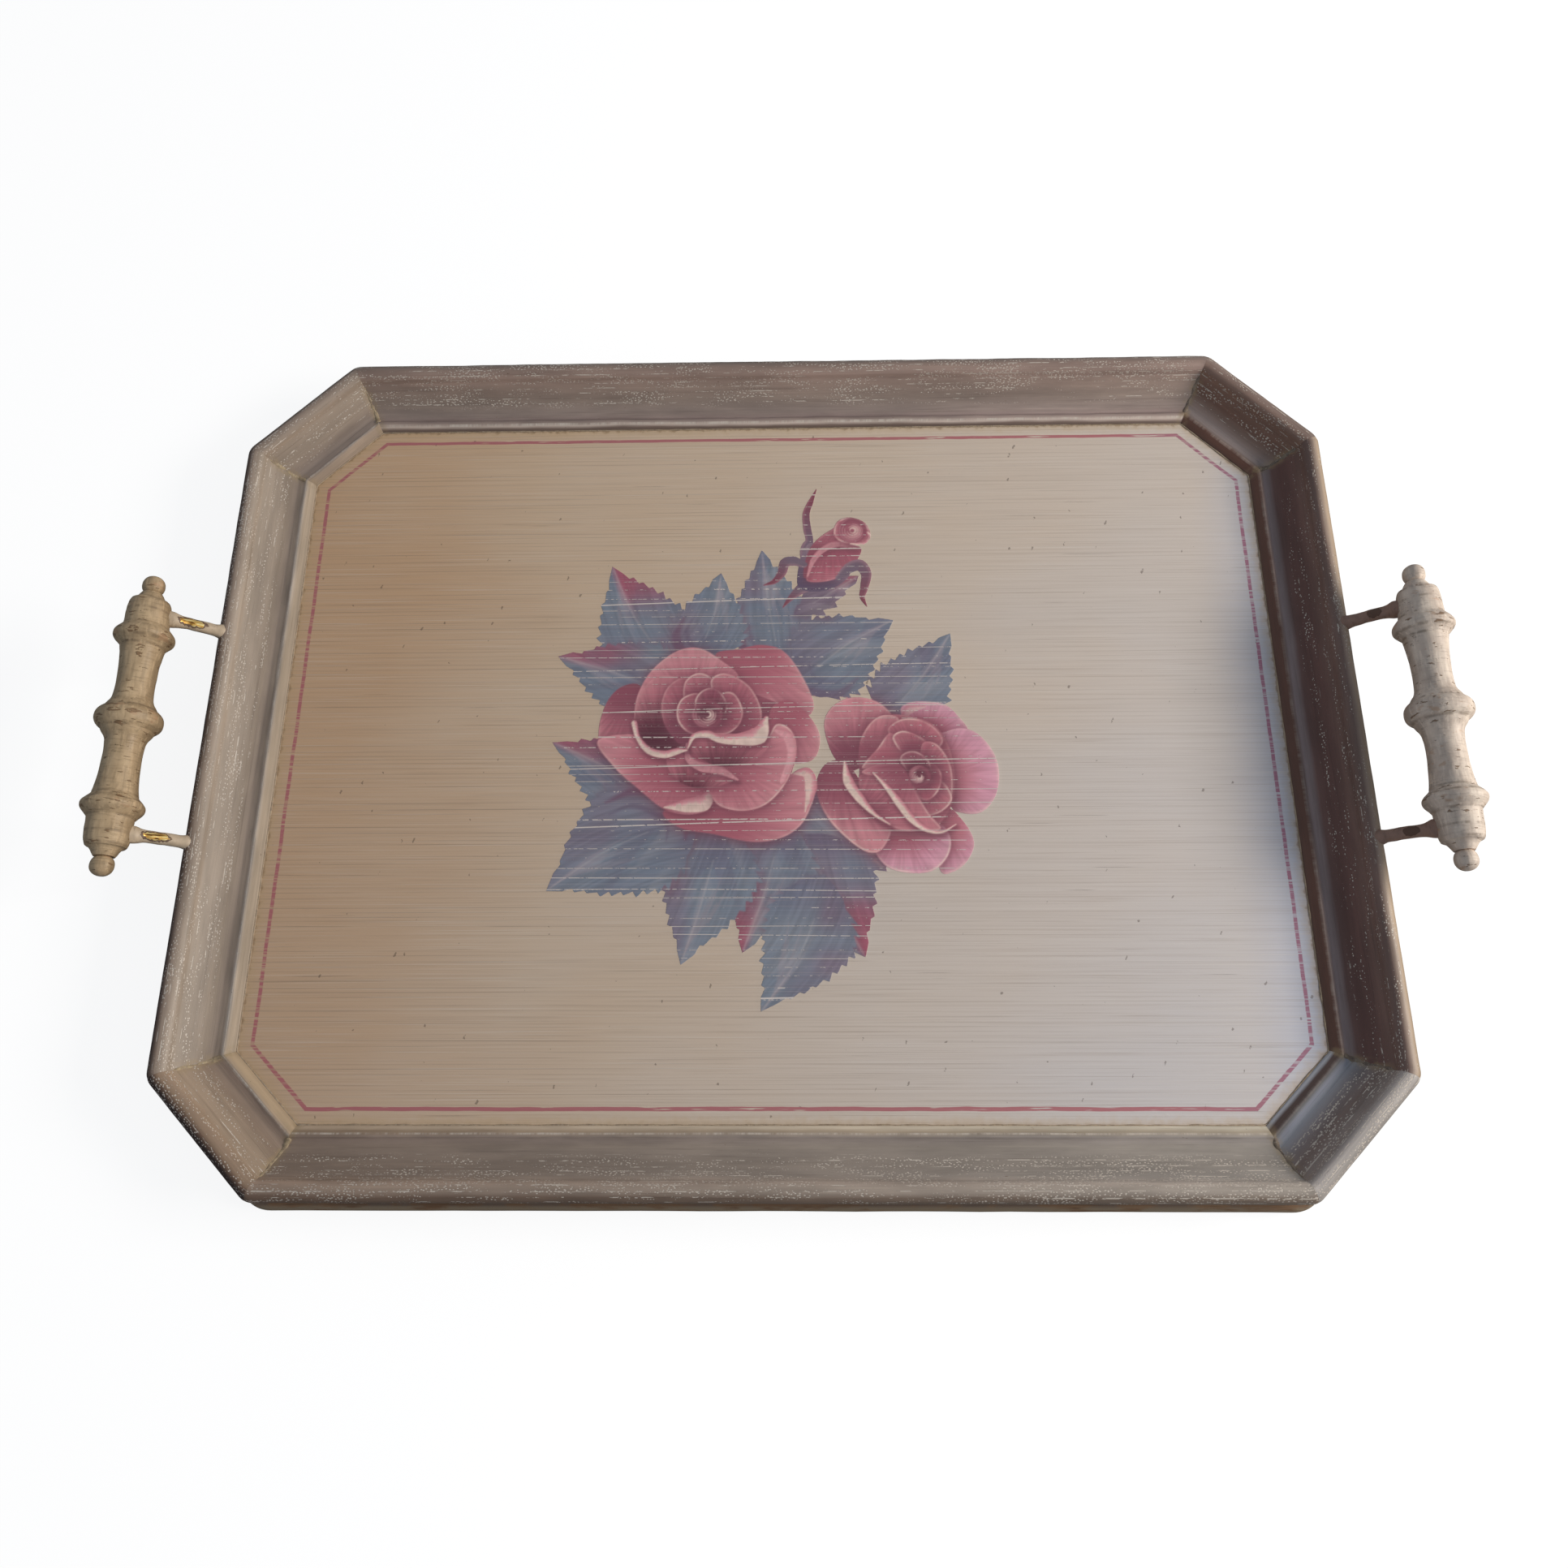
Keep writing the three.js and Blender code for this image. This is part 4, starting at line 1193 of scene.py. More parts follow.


# Each rail's rubbed paint, with painted light in it: the left-hand rails are painted lighter and the
# right-hand ones darker, the front-right trough takes a bluish painted reflection of the window,
# the right-hand beads a painted highlight, and the outer edge of the left-hand beads is painted
# dark as shade. tones: its colours at distances out from the panel. arris_wear_and_shade, arris_at
# and arris_half: how bright, where and how wide its sharp edge is rubbed, dimmer on the right-hand
# rails as painted shade. drift: tints of its left and right ends, brighter and cooler to the right
# as painted light. more_rubbed: cream added towards its right end.
RAIL_LOOKS = {
    "left": dict(
        tones=[(2.6, 0.5, 0.39, 0.28), (4.7, 0.64, 0.54, 0.45), (5.7, 0.4, 0.315, 0.245),
               (8.5, 0.32, 0.25, 0.2), (11.5, 0.32, 0.25, 0.19), (14.5, 0.375, 0.3, 0.235),
               (19.5, 0.37, 0.3, 0.235), (21.5, 0.41, 0.335, 0.265), (24.4, 0.38, 0.29, 0.225),
               (26.4, 0.19, 0.12, 0.085), (28.0, 0.04, 0.018, 0.01)],
        arris_wear_and_shade=0.95, arris_at=4.4, arris_half=0.75),
    "front_left": dict(
        tones=[(2.6, 0.52, 0.38, 0.24), (4.7, 0.56, 0.43, 0.33), (5.7, 0.4, 0.29, 0.225),
               (8.5, 0.34, 0.25, 0.19), (11.5, 0.32, 0.23, 0.166), (14.5, 0.36, 0.268, 0.193),
               (19.5, 0.4, 0.3, 0.215), (21.5, 0.34, 0.243, 0.172), (23.5, 0.32, 0.22, 0.147),
               (25.2, 0.18, 0.105, 0.067), (27.0, 0.04, 0.016, 0.009)],
        arris_wear_and_shade=0.95, arris_at=4.4, arris_half=0.75),
    "back_left": dict(
        tones=[(2.6, 0.46, 0.34, 0.245), (4.7, 0.56, 0.45, 0.37), (5.7, 0.42, 0.33, 0.275),
               (8.5, 0.33, 0.26, 0.217), (11.5, 0.29, 0.22, 0.173), (14.5, 0.36, 0.278, 0.212),
               (19.5, 0.33, 0.255, 0.192), (22.5, 0.34, 0.268, 0.213), (25.7, 0.36, 0.265, 0.205),
               (27.5, 0.1, 0.06, 0.04)],
        arris_wear_and_shade=0.95, arris_at=4.4, arris_half=0.75),
    "front": dict(
        tones=[(0.8, 0.64, 0.51, 0.38), (2.2, 0.42, 0.31, 0.215), (4.4, 0.33, 0.26, 0.225),
               (5.5, 0.345, 0.27, 0.232), (8.0, 0.32, 0.252, 0.206), (11.0, 0.32, 0.252, 0.208),
               (14.5, 0.295, 0.232, 0.19), (19.0, 0.34, 0.272, 0.228), (21.5, 0.44, 0.335, 0.27),
               (23.5, 0.39, 0.3, 0.24), (25.2, 0.34, 0.257, 0.205), (27.0, 0.21, 0.14, 0.1)],
        arris_wear_and_shade=0.8, arris_at=3.1, arris_half=0.55, foot_dark=0.0, more_rubbed=0.05,
        drift=((0.9, 0.83, 0.76), (1.19, 1.36, 1.46))),
    "back": dict(
        tones=[(0.8, 0.22, 0.15, 0.12), (2.0, 0.66, 0.54, 0.46), (3.4, 0.38, 0.29, 0.25),
               (4.6, 0.25, 0.19, 0.172), (5.6, 0.36, 0.275, 0.25), (8.0, 0.35, 0.275, 0.24),
               (14.0, 0.31, 0.237, 0.194), (19.0, 0.34, 0.248, 0.202), (21.0, 0.4, 0.288, 0.24),
               (24.0, 0.33, 0.235, 0.192), (27.0, 0.24, 0.19, 0.16)],
        arris_wear_and_shade=0.9, arris_at=2.5, arris_half=0.7, foot_dark=0.5,
        drift=((0.95, 0.94, 0.92), (1.09, 1.08, 1.1))),
    "front_right": dict(
        tones=[(0.8, 0.5, 0.5, 0.53), (1.9, 0.11, 0.07, 0.06), (3.4, 0.095, 0.06, 0.05),
               (5.0, 0.17, 0.17, 0.178), (6.5, 0.3, 0.31, 0.37), (8.5, 0.3, 0.31, 0.345),
               (10.5, 0.3, 0.285, 0.3), (13.5, 0.257, 0.213, 0.205), (17.0, 0.25, 0.18, 0.152),
               (20.5, 0.37, 0.3, 0.265), (23.0, 0.68, 0.61, 0.56), (25.0, 0.52, 0.475, 0.44),
               (27.5, 0.34, 0.31, 0.285)],
        arris_wear_and_shade=0.1, foot_dark=0.0, more_rubbed=0.04),
    "back_right": dict(
        tones=[(3.6, 0.13, 0.058, 0.038), (4.8, 0.17, 0.125, 0.112), (6.2, 0.29, 0.237, 0.223),
               (8.0, 0.34, 0.276, 0.256), (10.2, 0.33, 0.242, 0.208), (13.0, 0.262, 0.172, 0.133),
               (16.0, 0.212, 0.11, 0.074), (20.0, 0.255, 0.14, 0.095), (22.8, 0.33, 0.214, 0.166),
               (25.0, 0.29, 0.205, 0.172), (27.5, 0.24, 0.18, 0.15)],
        arris_wear_and_shade=0.3),
    "right": dict(
        tones=[(3.6, 0.15, 0.068, 0.044), (4.6, 0.28, 0.2, 0.178), (6.2, 0.325, 0.252, 0.247),
               (8.4, 0.27, 0.2, 0.19), (10.2, 0.165, 0.087, 0.072), (13.0, 0.145, 0.068, 0.054),
               (16.5, 0.172, 0.084, 0.067), (19.5, 0.21, 0.118, 0.092), (23.4, 0.212, 0.138, 0.113),
               (25.2, 0.4, 0.3, 0.235), (27.0, 0.46, 0.345, 0.24), (28.6, 0.34, 0.245, 0.16)],
        arris_wear_and_shade=0.25, more_rubbed=-0.05),
}


def rail_material(name, tones, arris_wear_and_shade=0.85, arris_at=4.0, arris_half=1.0, foot_dark=0.2,
                  drift=((1, 1, 1), (1, 1, 1)), more_rubbed=0.0):
    """Rubbed paint on a rail, with a look from RAIL_LOOKS, its painted light and shade included."""
    g = Graph(name)
    along, run, number = g.split(g.attribute("lay"))
    out = g.attribute("out", "Fac")
    ends = g.attribute("ends", "Fac")
    x, y, z = g.place_mm()

    def rows(along_scale, run_scale, shift, detail=2, roughness=0.6):
        """Noise drawn out along the rail."""
        return g.noise(along * along_scale, run * run_scale, number + shift, detail=detail,
                       roughness=roughness)

    def between(low, high, amount):
        """The colour an amount of the way from low to high."""
        return g.ramp(amount, [(0.0, low), (1.0, high)])

    widest = 30.0
    wander = (rows(0.03, 0.1, 20.0) - 0.5) * 1.6
    # the tones carry each side's painted light and shade
    stops = [(place / widest, tone) for place, *tone in tones]
    colour = g.ramp((out + wander) / widest, stops)
    # painted light: brighter and cooler towards the right end, as drift says
    colour = g.tint(colour, between(*drift, (x + WELL_X) / (2 * WELL_X)))
    cloud = g.step(rows(0.02, 0.12, 0.0, detail=4), 0.3, 0.7)
    colour = g.tint(colour, between((0.86, 0.86, 0.86), (1.14, 1.14, 1.14), cloud))
    # streaks left by the brush
    drag = rows(0.015, 0.9, 1.0, detail=4, roughness=0.7)
    colour = g.tint(colour, between((1, 1, 1), (0.8, 0.79, 0.78), g.step(drag, 0.45, 0.3)))
    colour = g.tint(colour, between((1, 1, 1), (1.14, 1.14, 1.13), g.step(drag, 0.55, 0.7)))
    # rubbed-through cream: thin broken lines and round grains, in rows along the rail
    on_slope = g.step(out, 10.0, 13.0)
    on_bead = g.step(out, 20.2, 21.2) * g.step(out, 26.6, 25.6)
    patches = (rows(0.018, 0.16, 3.0) - 0.5) * 0.3
    zone = on_slope * 0.04 + on_bead * 0.03 + patches
    zone = zone + g.step(x, 20.0, 160.0) * more_rubbed
    broken = rows(0.14, 0.5, 5.0, detail=4, roughness=0.75) + zone
    line = brush_rows(g, along, run + number, 2.4, 0.2, 51.0) * g.step(broken, 0.595, 0.63)
    grain_size = g.step(rows(0.05, 0.4, 9.0) + zone, 0.47, 0.66) * 0.26
    from_grain = g.cells(along * 0.62 + number, run * 0.95)
    grains = g.step(grain_size - from_grain, -0.01, 0.05)
    cream_at = g.most(line, grains) * on_slope
    # the outer face is plainer, and the same brown all round
    outside = g.step(out, 28.3, 29.0) * g.step(z, 19.0, 16.5)
    colour = g.mix(outside, colour, g.mix(drag, OUTSIDE_DARK, OUTSIDE_BROWN))
    cream_at = cream_at * (1.0 - outside * 0.45)
    # the worn edge of the inner step
    worn = rows(0.11, 0.0, 11.0, detail=6, roughness=0.85)
    off_arris = abs(out + wander * 0.3 - arris_at)
    arris = g.step(off_arris, arris_half, arris_half - 0.35)
    # arris_wear_and_shade dims the rubbed edge on the right-hand rails: painted shade
    arris = arris * g.step(worn, 0.4, 0.62) * arris_wear_and_shade
    cream_at = g.most(cream_at, arris)
    cream = g.mix(rows(1.1, 1.8, 13.0), RUBBED_CREAM, RUBBED_WHITE)
    colour = g.mix(cream_at * 0.88, colour, cream)
    # brown wood where the paint has chipped, and ochre in the mitres
    chips = rows(0.3, 0.8, 15.0, detail=3)
    colour = g.mix(g.step(chips, 0.735, 0.76) * 0.85, colour, CHIPPED_WOOD)
    smear = g.noise(x * 0.3, y * 0.3, z * 0.3, detail=4)
    near = g.step(ends, 4.0, 0.3) * g.step(smear, 0.35, 0.6) * g.step(out, 22.0, 17.0)
    colour = g.mix(near * 0.5, colour, MITRE_SMEAR)
    # darker at the foot of the step, as much as foot_dark says
    colour = g.mix(g.step(out, 1.4, 0.2) * foot_dark, colour, RAIL_FOOT_DARK)
    return g.finish(colour, 0.4 + drag * 0.25, drag * 1.2 + cream_at, depth=0.08)


def mitre_fillet(number, material):
    """Paint gathered in the valley where two rails meet."""
    corner, outer = octagon(0)[number], octagon(1)[number]
    away = outer - corner
    keep = (SECTION[:, 0] > 4.4) & (SECTION[:, 0] < 20.4) & (SECTION[:, 1] > PANEL_Z + 0.4)
    line, run = SECTION[keep], SECTION_RUN[keep]
    share = np.linspace(0, 1, len(run))
    lumps = smooth_noise(run / 1.6, run * 0 + number * 3.1, 51)
    radius = 0.75 + 0.4 * lumps + 0.5 * bump_at(share, 0.25, 0.2)
    radius = np.clip(radius, 0.35, 1.5) * ease(share * (1 - share), 0, 0.06)
    path = np.column_stack([corner + away * line[:, :1], line[:, 1] - 0.2])
    sway = 0.3 * smooth_noise(run / 3, run * 0 + number * 5.3, 52)
    across = np.array([-away[1], away[0]]) / np.linalg.norm(away)
    path[:, :2] += sway[:, None] * across
    points, faces = tube(path, np.maximum(radius, 0.05), 12, flat=0.55)
    mesh_piece(f"mitre_paint_{number + 1}", points, faces, material, sharp=180)


def foot_fillet(material):
    """The ridge of paint and wax along the foot of the rails, all round the panel."""
    outline = rounded_octagon(-0.12, 1.2, 3)
    closed = np.vstack([outline, outline[:1]])
    dense = []
    for a, b in zip(closed, closed[1:]):
        pieces = max(1, int(np.linalg.norm(b - a) / 2.0))
        dense.extend(a + (b - a) * k / pieces for k in range(pieces))
    dense = np.array(dense)
    run = run_round(dense)
    path = np.column_stack([dense, np.full(len(dense), PANEL_Z + 0.05)])
    radius = 0.42 + 0.16 * smooth_noise(run / 5, 0, 61) + 0.1 * smooth_noise(run / 1.7, 0, 62)
    path = np.vstack([path, path[:1]])
    radius = np.append(radius, radius[0])
    points, faces = tube(path, radius, 8, flat=0.8)
    mesh_piece("foot_paint", points, faces, material, sharp=180)


def fillet_material(name, pale, dark):
    """Clotted paint and wax, with pale crumbs in it."""
    g = Graph(name)
    x, y, z = g.place_mm()
    clots = g.noise(x * 0.5, y * 0.5, z * 0.5, detail=4)
    colour = g.ramp(clots, [(0.32, dark), (0.62, pale)])
    crumbs = g.noise(x * 1.6, y * 1.6, z * 1.6, detail=2)
    colour = g.mix(g.step(crumbs, 0.58, 0.7) * 0.5, colour, FILLET_CRUMB)
    return g.finish(colour, 0.5 + clots * 0.25, crumbs, depth=0.2)


# ---------------------------------------------------------------- grips and posts
GROOVE_DIRT = (0.16, 0.105, 0.06)
GRIP_WOOD = (0.22, 0.12, 0.055)
GRIP_RUBBED = (0.5, 0.29, 0.16)
POST_UNDERCOAT = (0.12, 0.06, 0.035)
BRASS_DARK_REFLECTION, BRASS, BRASS_GLINT = (0.16, 0.07, 0.015), (0.8, 0.43, 0.08), (1.0, 0.82, 0.36)
RUST, STEEL, BARE_STEEL = (0.2, 0.15, 0.11), (0.42, 0.41, 0.4), (0.55, 0.54, 0.52)
# Each turned groove's distance from the middle of its grip, and its depth.
GROOVES = [(4.6, 0.35), (33.4, 0.4), (36.2, 0.2), (43.2, 0.35), (50.0, 0.14), (55.0, 0.2)]


def sign_of(side):
    """The side's direction along X."""
    return 1 if side == "right" else -1


def grip_profile():
    """A turned grip from its middle to its tip: distance along the axis, and radius."""
    turned = smooth_curve([(0, 13.2), (1.6, 13.0), (3.0, 12.3), (4.4, 10.9), (5.2, 10.2),
                           (6.4, 9.5), (8.2, 8.35), (10.8, 7.7), (17, 7.45), (25, 7.75),
                           (31.6, 8.5), (34.2, 9.3), (35.4, 10.3), (36.6, 11.5), (38.0, 12.1),
                           (39.6, 11.9), (41.0, 11.0), (42.2, 10.0), (43.5, 9.2), (45.4, 8.9),
                           (49, 8.8), (52.6, 8.55), (54.6, 8.2), (55.6, 7.7), (56.1, 6.6),
                           (57.2, 5.6), (58.6, 4.8), (59.7, 4.1)], 5)
    ball = 4.55
    squareness = 2.2  # 2 makes a round knob, and more a blunter one
    turn = np.radians(np.linspace(-56, 90, 16))
    up, side = np.sin(turn), np.cos(turn)
    swell = (np.abs(up) ** squareness + np.abs(side) ** squareness) ** (-1 / squareness)
    knob = np.stack([GRIP_HALF - ball + ball * up * swell, ball * side * swell], axis=1)
    knob[-1, 1] = 0.0
    return np.vstack([turned, knob])


def grip(side, material):
    """A grip, turned finely, with grooves beside its rings and small dents in its paint."""
    place, radius = grip_profile().T
    place = np.concatenate([-place[:0:-1], place])
    radius = np.concatenate([radius[:0:-1], radius])
    sides = 72
    sign = sign_of(side)
    turn = np.linspace(0, 2 * math.pi, sides, endpoint=False)
    dents = 0.11 * smooth_noise(place[:, None] / 5, 6 + 3 * np.cos(turn) + sign, 71)
    dents = dents + 0.11 * smooth_noise(place[:, None] / 5, 16 + 3 * np.sin(turn) - sign, 72)
    chips = smooth_noise(place[:, None] / 1.6 + 40 * sign, 11 + 5 * np.cos(turn + 0.4), 73)
    dents = dents - 0.14 * np.clip(chips - 0.4, 0, 1)
    sway = 0.5 * smooth_noise(place[:, None] / 20, 5 + 1.6 * np.cos(turn + sign), 74)
    for centre, depth in GROOVES:
        cut = 0.6 + 0.6 * smooth_noise(centre + 9 * sign, 7 + 2 * np.sin(turn + centre), 75)
        dents = dents - depth * cut * bump_at(np.abs(place)[:, None] + sway, centre, 0.45)
    r = radius[:, None] + dents * np.clip(radius[:, None] / 4, 0, 1)
    x, y, z = r * np.cos(turn), np.repeat(place[:, None], sides, 1), r * np.sin(turn)
    points = np.stack([x, y, z], axis=-1) + GRIP_AXIS * (sign, 1, 1)
    lay = np.stack([y + 200.0 * sign, x, z], axis=-1)
    faces = grid_faces(len(place), sides, wrap_columns=True)
    name = f"grip_{side}"
    mesh_piece(f"{name}_turning", points.reshape(-1, 3), faces, material, [name],
               sharp=50, attributes=[("lay", "FLOAT_VECTOR", lay),
                                     ("girth", "FLOAT", np.repeat(radius, sides)),
                                     ("station", "FLOAT", np.repeat(np.abs(place), sides))])


def turned_noise(g, lay, along_scale, round_scale, shift, detail=3):
    """Noise on a turned piece, with its own scales along the piece and round it."""
    along, across, up = lay
    return g.noise(along * along_scale, across * round_scale, up * round_scale + shift, detail=detail)


def grip_material(name, deep, pale, worn):
    """Old cream paint on turned wood: its two shades, and how much of it is worn away, with painted
    shade on the sides and underside.
    """
    g = Graph(name)
    lay = g.split(g.attribute("lay"))
    up = lay[2]
    girth = g.attribute("girth", "Fac")
    station = g.attribute("station", "Fac")
    spots = partial(turned_noise, g, lay)
    cloud = spots(0.12, 0.16, 0.0)
    colour = g.ramp(cloud, [(0.3, deep), (0.7, pale)])
    # painted shade: the sides and underside are darker, as if turned from the light
    painted_shade_below = g.step(up / g.most(girth, 1.0), 0.5, -0.1)
    colour = g.mix(painted_shade_below * 0.5, colour, shade_of(deep, 0.3))
    # rows turned into the wood, and the brush's drag along the waist
    rings = spots(1.5, 0.14, 3.0)
    colour = g.mix(g.step(rings, 0.56, 0.72) * (0.1 + 6 * worn), colour, shade_of(deep, 0.55))
    drag = spots(0.08, 0.6, 5.0)
    colour = g.mix(g.step(drag, 0.5, 0.66) * (0.16 + 4 * worn), colour, shade_of(deep, 0.6))
    pale_drag = spots(0.12, 0.7, 7.0)
    colour = g.mix(g.step(pale_drag, 0.54, 0.68) * 0.35, colour, shade_of(pale, 1.25))
    # grime in the grooves, broken along them
    broken = spots(0.1, 0.25, 9.0)
    for centre, _ in GROOVES:
        dirt = g.step(abs(station - centre), 0.9, 0.1) * g.step(broken, 0.4, 0.6)
        colour = g.mix(dirt * 0.5, colour, GROOVE_DIRT)
    # slivers of bare wood, most on the rims
    on_rims = g.step(girth, 9.2, 12.0)
    chips = spots(0.75, 0.2, 11.0, detail=4) + (0.4 + on_rims) * worn
    bare = g.step(chips, 0.665, 0.69)
    colour = g.mix(bare * 0.8, colour, GRIP_WOOD)
    rubbed = g.step(spots(0.3, 0.15, 13.0) + g.step(girth, 9.5, 12.0) * 0.05, 0.63, 0.72)
    colour = g.mix(rubbed * 0.5, colour, GRIP_RUBBED)
    relief = cloud + drag * 0.6 - bare * 0.9 - g.step(rings, 0.52, 0.7) * 0.4
    return g.finish(colour, 0.4 + cloud * 0.25, relief, depth=0.22)


def post_path(side, end, count):
    """A post's centre line, from inside the bead to inside the grip."""
    low, high = box_mm(f"post_{side}_{end}")
    y = (low[1] + high[1]) / 2
    out, up = quad_curve((23.2, 9.6), (35.5, 21.9), (48.4, 29.4), count).T
    return np.column_stack([sign_of(side) * (WELL_X + out), np.full(count, y), PANEL_Z + up])


def post(side, end, material):
    """A post: a rod whose paint swells into the bead at one end and into the grip at the other."""
    count, sides = 110, 32
    path = post_path(side, end, count)
    seed = 80 + 2 * ("right" == side) + ("back" == end)
    run = np.linspace(0, 1, count)
    turn = np.linspace(0, 2 * math.pi, sides, endpoint=False)
    lumps = smooth_noise(run[:, None] * 12, 9 + 2.2 * np.cos(turn), seed)
    rough = 0.8 + 0.3 * smooth_noise(run[:, None] * 9, 4 + 2 * np.sin(turn), seed)
    flare = 0.9 * bump_at(run, 0.15, 0.07) + 1.5 * ease(run, 0.60, 0.80) ** 2
    radius = POST_RADIUS - 0.05 + 0.13 * lumps + flare[:, None] * rough
    points, faces = tube(path, radius, sides)
    around = np.stack([np.cos(turn), np.sin(turn)], axis=1) * POST_RADIUS
    lay = np.column_stack([np.repeat(run * 34 + 50 * seed, sides), np.tile(around, (count, 1))])
    name = f"post_{side}_{end}"
    mesh_piece(f"{name}_rod", points, faces, material, [name], sharp=50,
               attributes=[("lay", "FLOAT_VECTOR", lay), ("reach", "FLOAT", np.repeat(run, sides))])


def post_material(name, coat, chip_at, chip_half, brass_shows):
    """Brass under old paint, with one long chip on top of the rod: it goes down to the brass,
    or only to the dark undercoat."""
    g = Graph(name)
    lay = g.split(g.attribute("lay"))
    across, up = lay[1:]
    reach = g.attribute("reach", "Fac")
    spots = partial(turned_noise, g, lay)
    cloud = spots(0.4, 0.4, 0.0)
    paint = g.mix(cloud, shade_of(coat, 0.7), shade_of(coat, 1.25))
    drips = spots(0.9, 0.35, 4.0)
    paint = g.mix(g.step(drips, 0.55, 0.7) * 0.4, paint, shade_of(coat, 0.45))
    far = ((reach - chip_at) / chip_half) ** 2
    wide = (across / 1.9) ** 2
    ragged = (spots(0.7, 0.5, 8.0) - 0.5) * 1.6
    chip = far + wide + ragged + g.step(up, 0.4, -0.6)
    chipped = g.step(chip, 1.25, 1.1)
    bare = g.step(chip, 0.82, 0.7) * brass_shows
    brass_glints = spots(0.2, 1.3, 12.0, detail=2)
    colour = g.mix(chipped * 0.9, paint, POST_UNDERCOAT)
    # painted reflection: the ramp puts bright glints and dark reflections into the bare brass's
    # colour
    brass = g.ramp(brass_glints, [(0.38, BRASS_DARK_REFLECTION), (0.47, BRASS), (0.6, BRASS_GLINT)])
    colour = g.mix(bare, colour, brass)
    return g.finish(colour, 0.52 - bare * 0.22, cloud * 0.4 - chipped, depth=0.2,
                    metallic=bare * 0.5)


def steel_material():
    """Dull steel with a film of rust, for the screws and nails."""
    g = Graph("dull_steel")
    x, y, z = g.place_mm()
    film = g.noise(x * 0.4, y * 0.4, z * 0.8, detail=4)
    colour = g.ramp(film, [(0.35, RUST), (0.55, STEEL), (0.8, BARE_STEEL)])
    scuff = g.noise(x * 3.0, y * 0.6, z, detail=2)
    return g.finish(colour, 0.3 + scuff * 0.3, scuff, depth=0.04, metallic=g.step(film, 0.3, 0.5))


# ---------------------------------------------------------------- floor, light and camera
# Metres and degrees from here on.
FLOOR_REACH, FLOOR_Z = 12.0, -0.0003
FLOOR_SHADE, FLOOR_GLOW = 0.25, 0.87
SKY_COLOUR, SKY_STRENGTH = (0.80, 0.88, 1.0), 0.31
WINDOW_PLACE, WINDOW_SIZE = (1.45, 0.0, 0.72), (0.9, 0.4)
WINDOW_COLOUR, WINDOW_WATTS = (1.0, 0.93, 0.85), 21
CAMERA_PLACE = (0.012787, -0.172839, 0.490517)
CAMERA_TURN = (17.664, 1.197, 0.051)  # a steep look down from above the front edge
CAMERA_LENS, CAMERA_SENSOR = 26.3, 36  # millimetres


def floor():
    """A pale floor that looks evenly bright to the camera and still takes the tray's shadow."""
    g = Graph("pale_floor")
    shade = g.node("ShaderNodeBsdfDiffuse")
    g.feed(shade.inputs["Color"], (FLOOR_SHADE, FLOOR_SHADE, FLOOR_SHADE))
    seen = Value(g, g.node("ShaderNodeLightPath").outputs["Is Camera Ray"])
    glow = g.node("ShaderNodeEmission")
    g.feed(glow.inputs["Color"], (1.0, 1.0, 1.0))
    g.feed(glow.inputs["Strength"], seen * FLOOR_GLOW)
    both = g.node("ShaderNodeAddShader")
    g.feed(both.inputs[0], Value(g, shade.outputs[0]))
    g.feed(both.inputs[1], Value(g, glow.outputs[0]))
    out = g.node("ShaderNodeOutputMaterial")
    g.feed(out.inputs["Surface"], Value(g, both.outputs[0]))
    mesh = bpy.data.meshes.new("floor")
    corners = [(FLOOR_REACH * x, FLOOR_REACH * y, FLOOR_Z)
               for x, y in ((-1, -1), (1, -1), (1, 1), (-1, 1))]
    mesh.from_pydata(corners, [], [(0, 1, 2, 3)])
    mesh.materials.append(g.material)
    add_object("floor", mesh)


def studio():
    """Even light from all round, and one soft window beyond the right grip."""
    scene = bpy.context.scene
    scene.view_settings.view_transform = "Standard"
    scene.view_settings.look = "None"
    world = bpy.data.worlds.new("studio")
    world.use_nodes = True
    sky = world.node_tree.nodes["Background"]
    sky.inputs["Color"].default_value = (*SKY_COLOUR, 1)
    sky.inputs["Strength"].default_value = SKY_STRENGTH
    scene.world = world
    lamp = bpy.data.lights.new("window", "AREA")
    lamp.shape = "RECTANGLE"
    lamp.size, lamp.size_y = WINDOW_SIZE
    lamp.energy = WINDOW_WATTS
    lamp.color = WINDOW_COLOUR
    light = add_object("window", lamp)
    light.location = WINDOW_PLACE
    light.rotation_mode = "QUATERNION"
    light.rotation_quaternion = (-Vector(WINDOW_PLACE)).to_track_quat("-Z", "Y")
    light.visible_camera = False


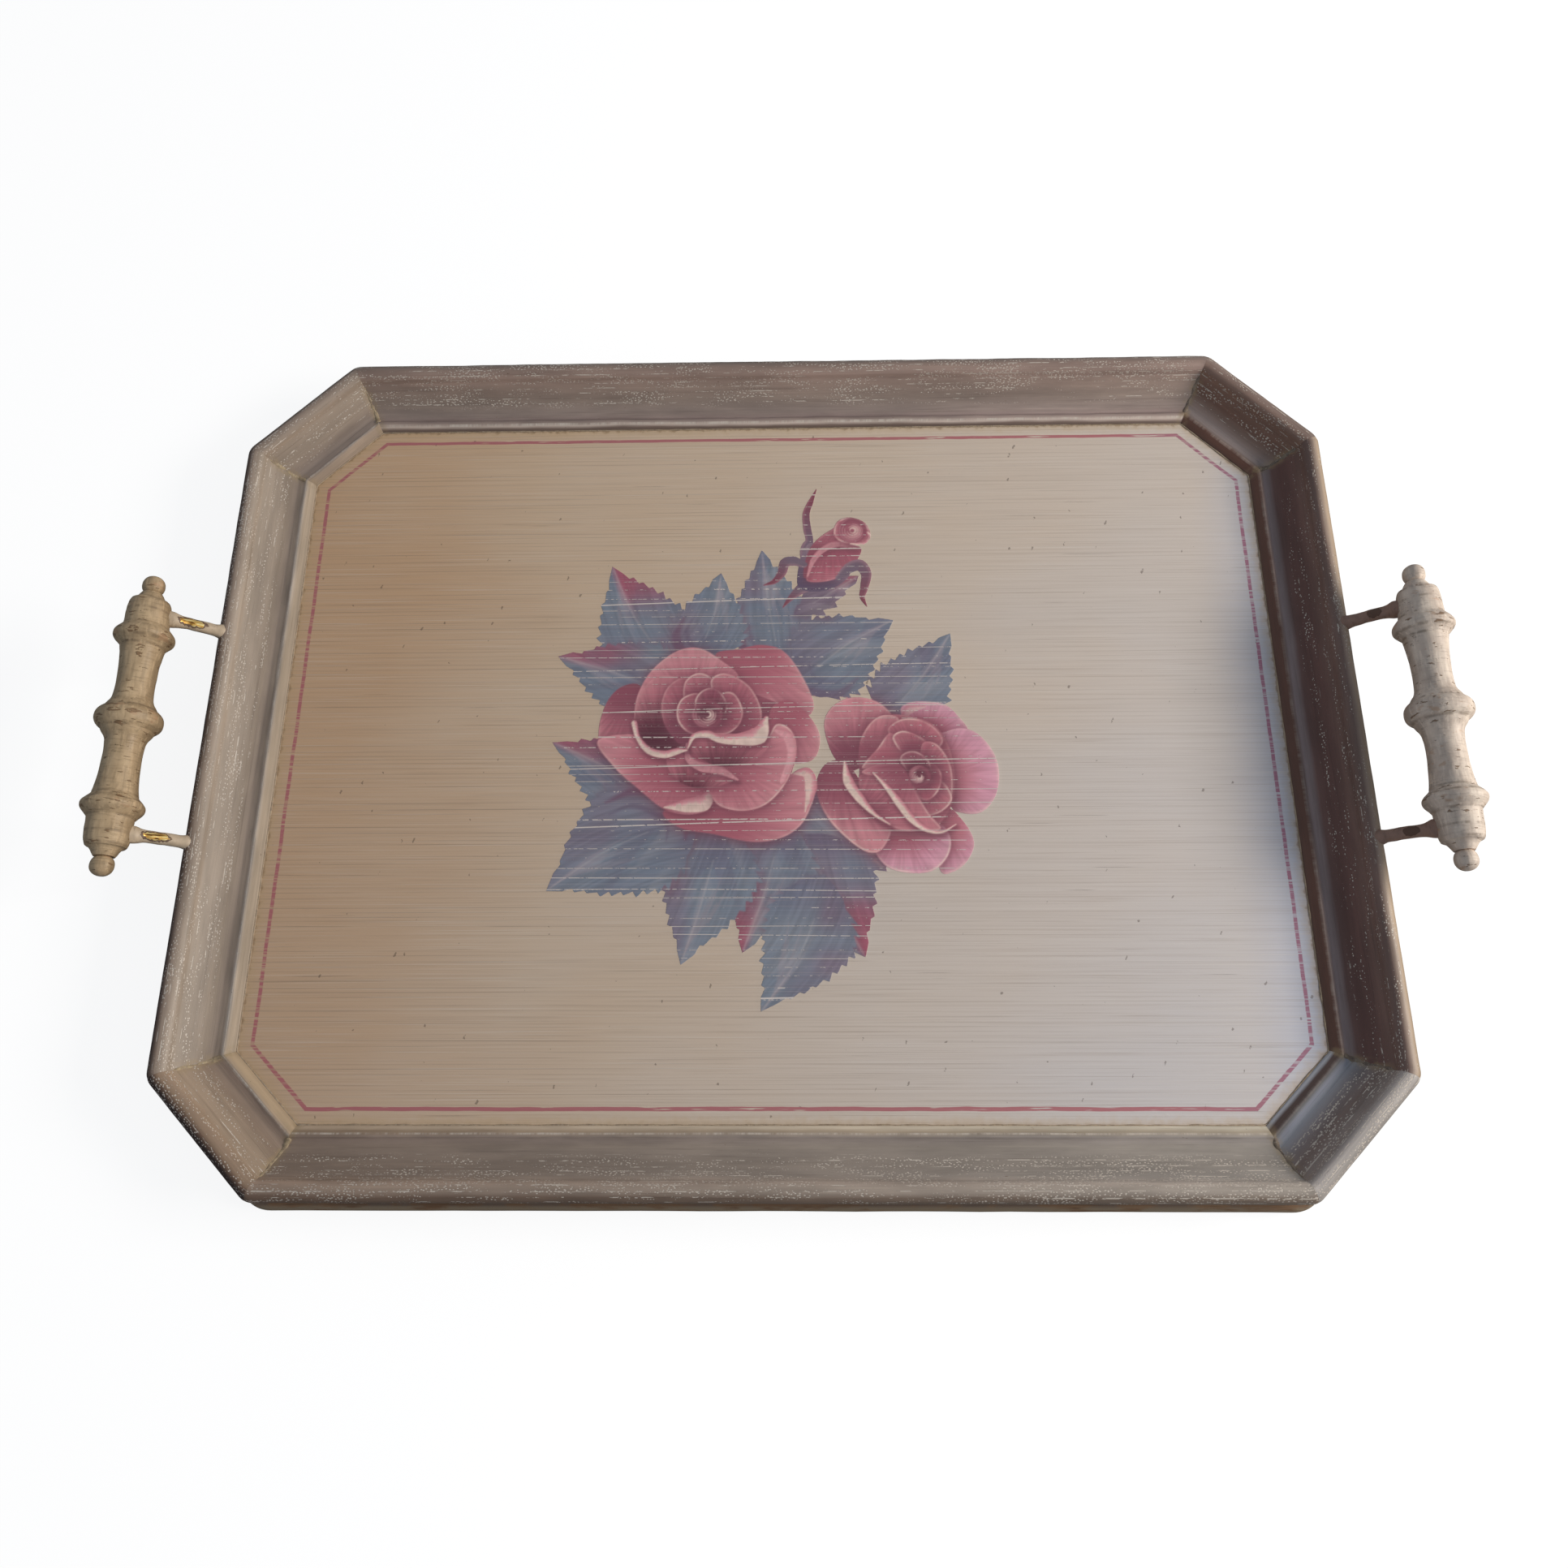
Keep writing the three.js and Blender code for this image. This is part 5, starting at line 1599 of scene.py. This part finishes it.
def camera():
    """A phone's wide lens held above the front edge."""
    lens = bpy.data.cameras.new("camera")
    lens.sensor_width = CAMERA_SENSOR
    lens.lens = CAMERA_LENS
    lens.clip_start = 0.01
    viewer = add_object("camera", lens)
    turn = Euler([math.radians(angle) for angle in CAMERA_TURN])
    viewer.matrix_world = Matrix.LocRotScale(Vector(CAMERA_PLACE), turn, None)
    bpy.context.scene.camera = viewer


# ---------------------------------------------------------------- the tray
camera()
studio()
floor()
panel_film(panel_material())
bouquet = bouquet_material()
for number in range(len(PAINTED_PARTS)):
    painted_film(number, bouquet)
board(board_material())
# The mitres on the right-hand half get a darker brown copy of the paint: painted shade, like their
# rails.
mitre_ochre = fillet_material("mitre_paint", (0.5, 0.39, 0.24), (0.26, 0.19, 0.125))
mitre_brown = fillet_material("mitre_paint_right", (0.27, 0.21, 0.15), (0.13, 0.095, 0.075))
for number, side in enumerate(SIDE_NAMES):
    rail(number, rail_material(f"rail_paint_{side}", **RAIL_LOOKS[side]))
    mitre_fillet(number, mitre_ochre if octagon(0)[number][0] < 0 else mitre_brown)
foot_fillet(fillet_material("foot_paint", (0.46, 0.35, 0.235), (0.3, 0.22, 0.15)))
# The left grip's paint is darker and yellower than the right's: painted shade, for the grip farther
# from the window.
GRIP_PAINTS = {
    "left": grip_material("grip_paint_left", (0.43, 0.305, 0.175), (0.61, 0.45, 0.27), 0.05),
    "right": grip_material("grip_paint_right", (0.62, 0.505, 0.415), (0.84, 0.72, 0.6), 0.02)}
# The right posts' coat is darker than the left's: painted shade.
POST_PAINTS = {
    "left": post_material("post_paint_left", (0.62, 0.49, 0.345), 0.55, 0.18, 1.0),
    "right": post_material("post_paint_right", (0.33, 0.2, 0.15), 0.55, 0.09, 0.0)}
for side in ("left", "right"):
    grip(side, GRIP_PAINTS[side])
    for end in ("front", "back"):
        post(side, end, POST_PAINTS[side])
steel = steel_material()
for name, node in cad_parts.items():
    if name.startswith(("screw_", "mitre_nail_")):
        for material_slot in node.material_slots:
            material_slot.material = steel
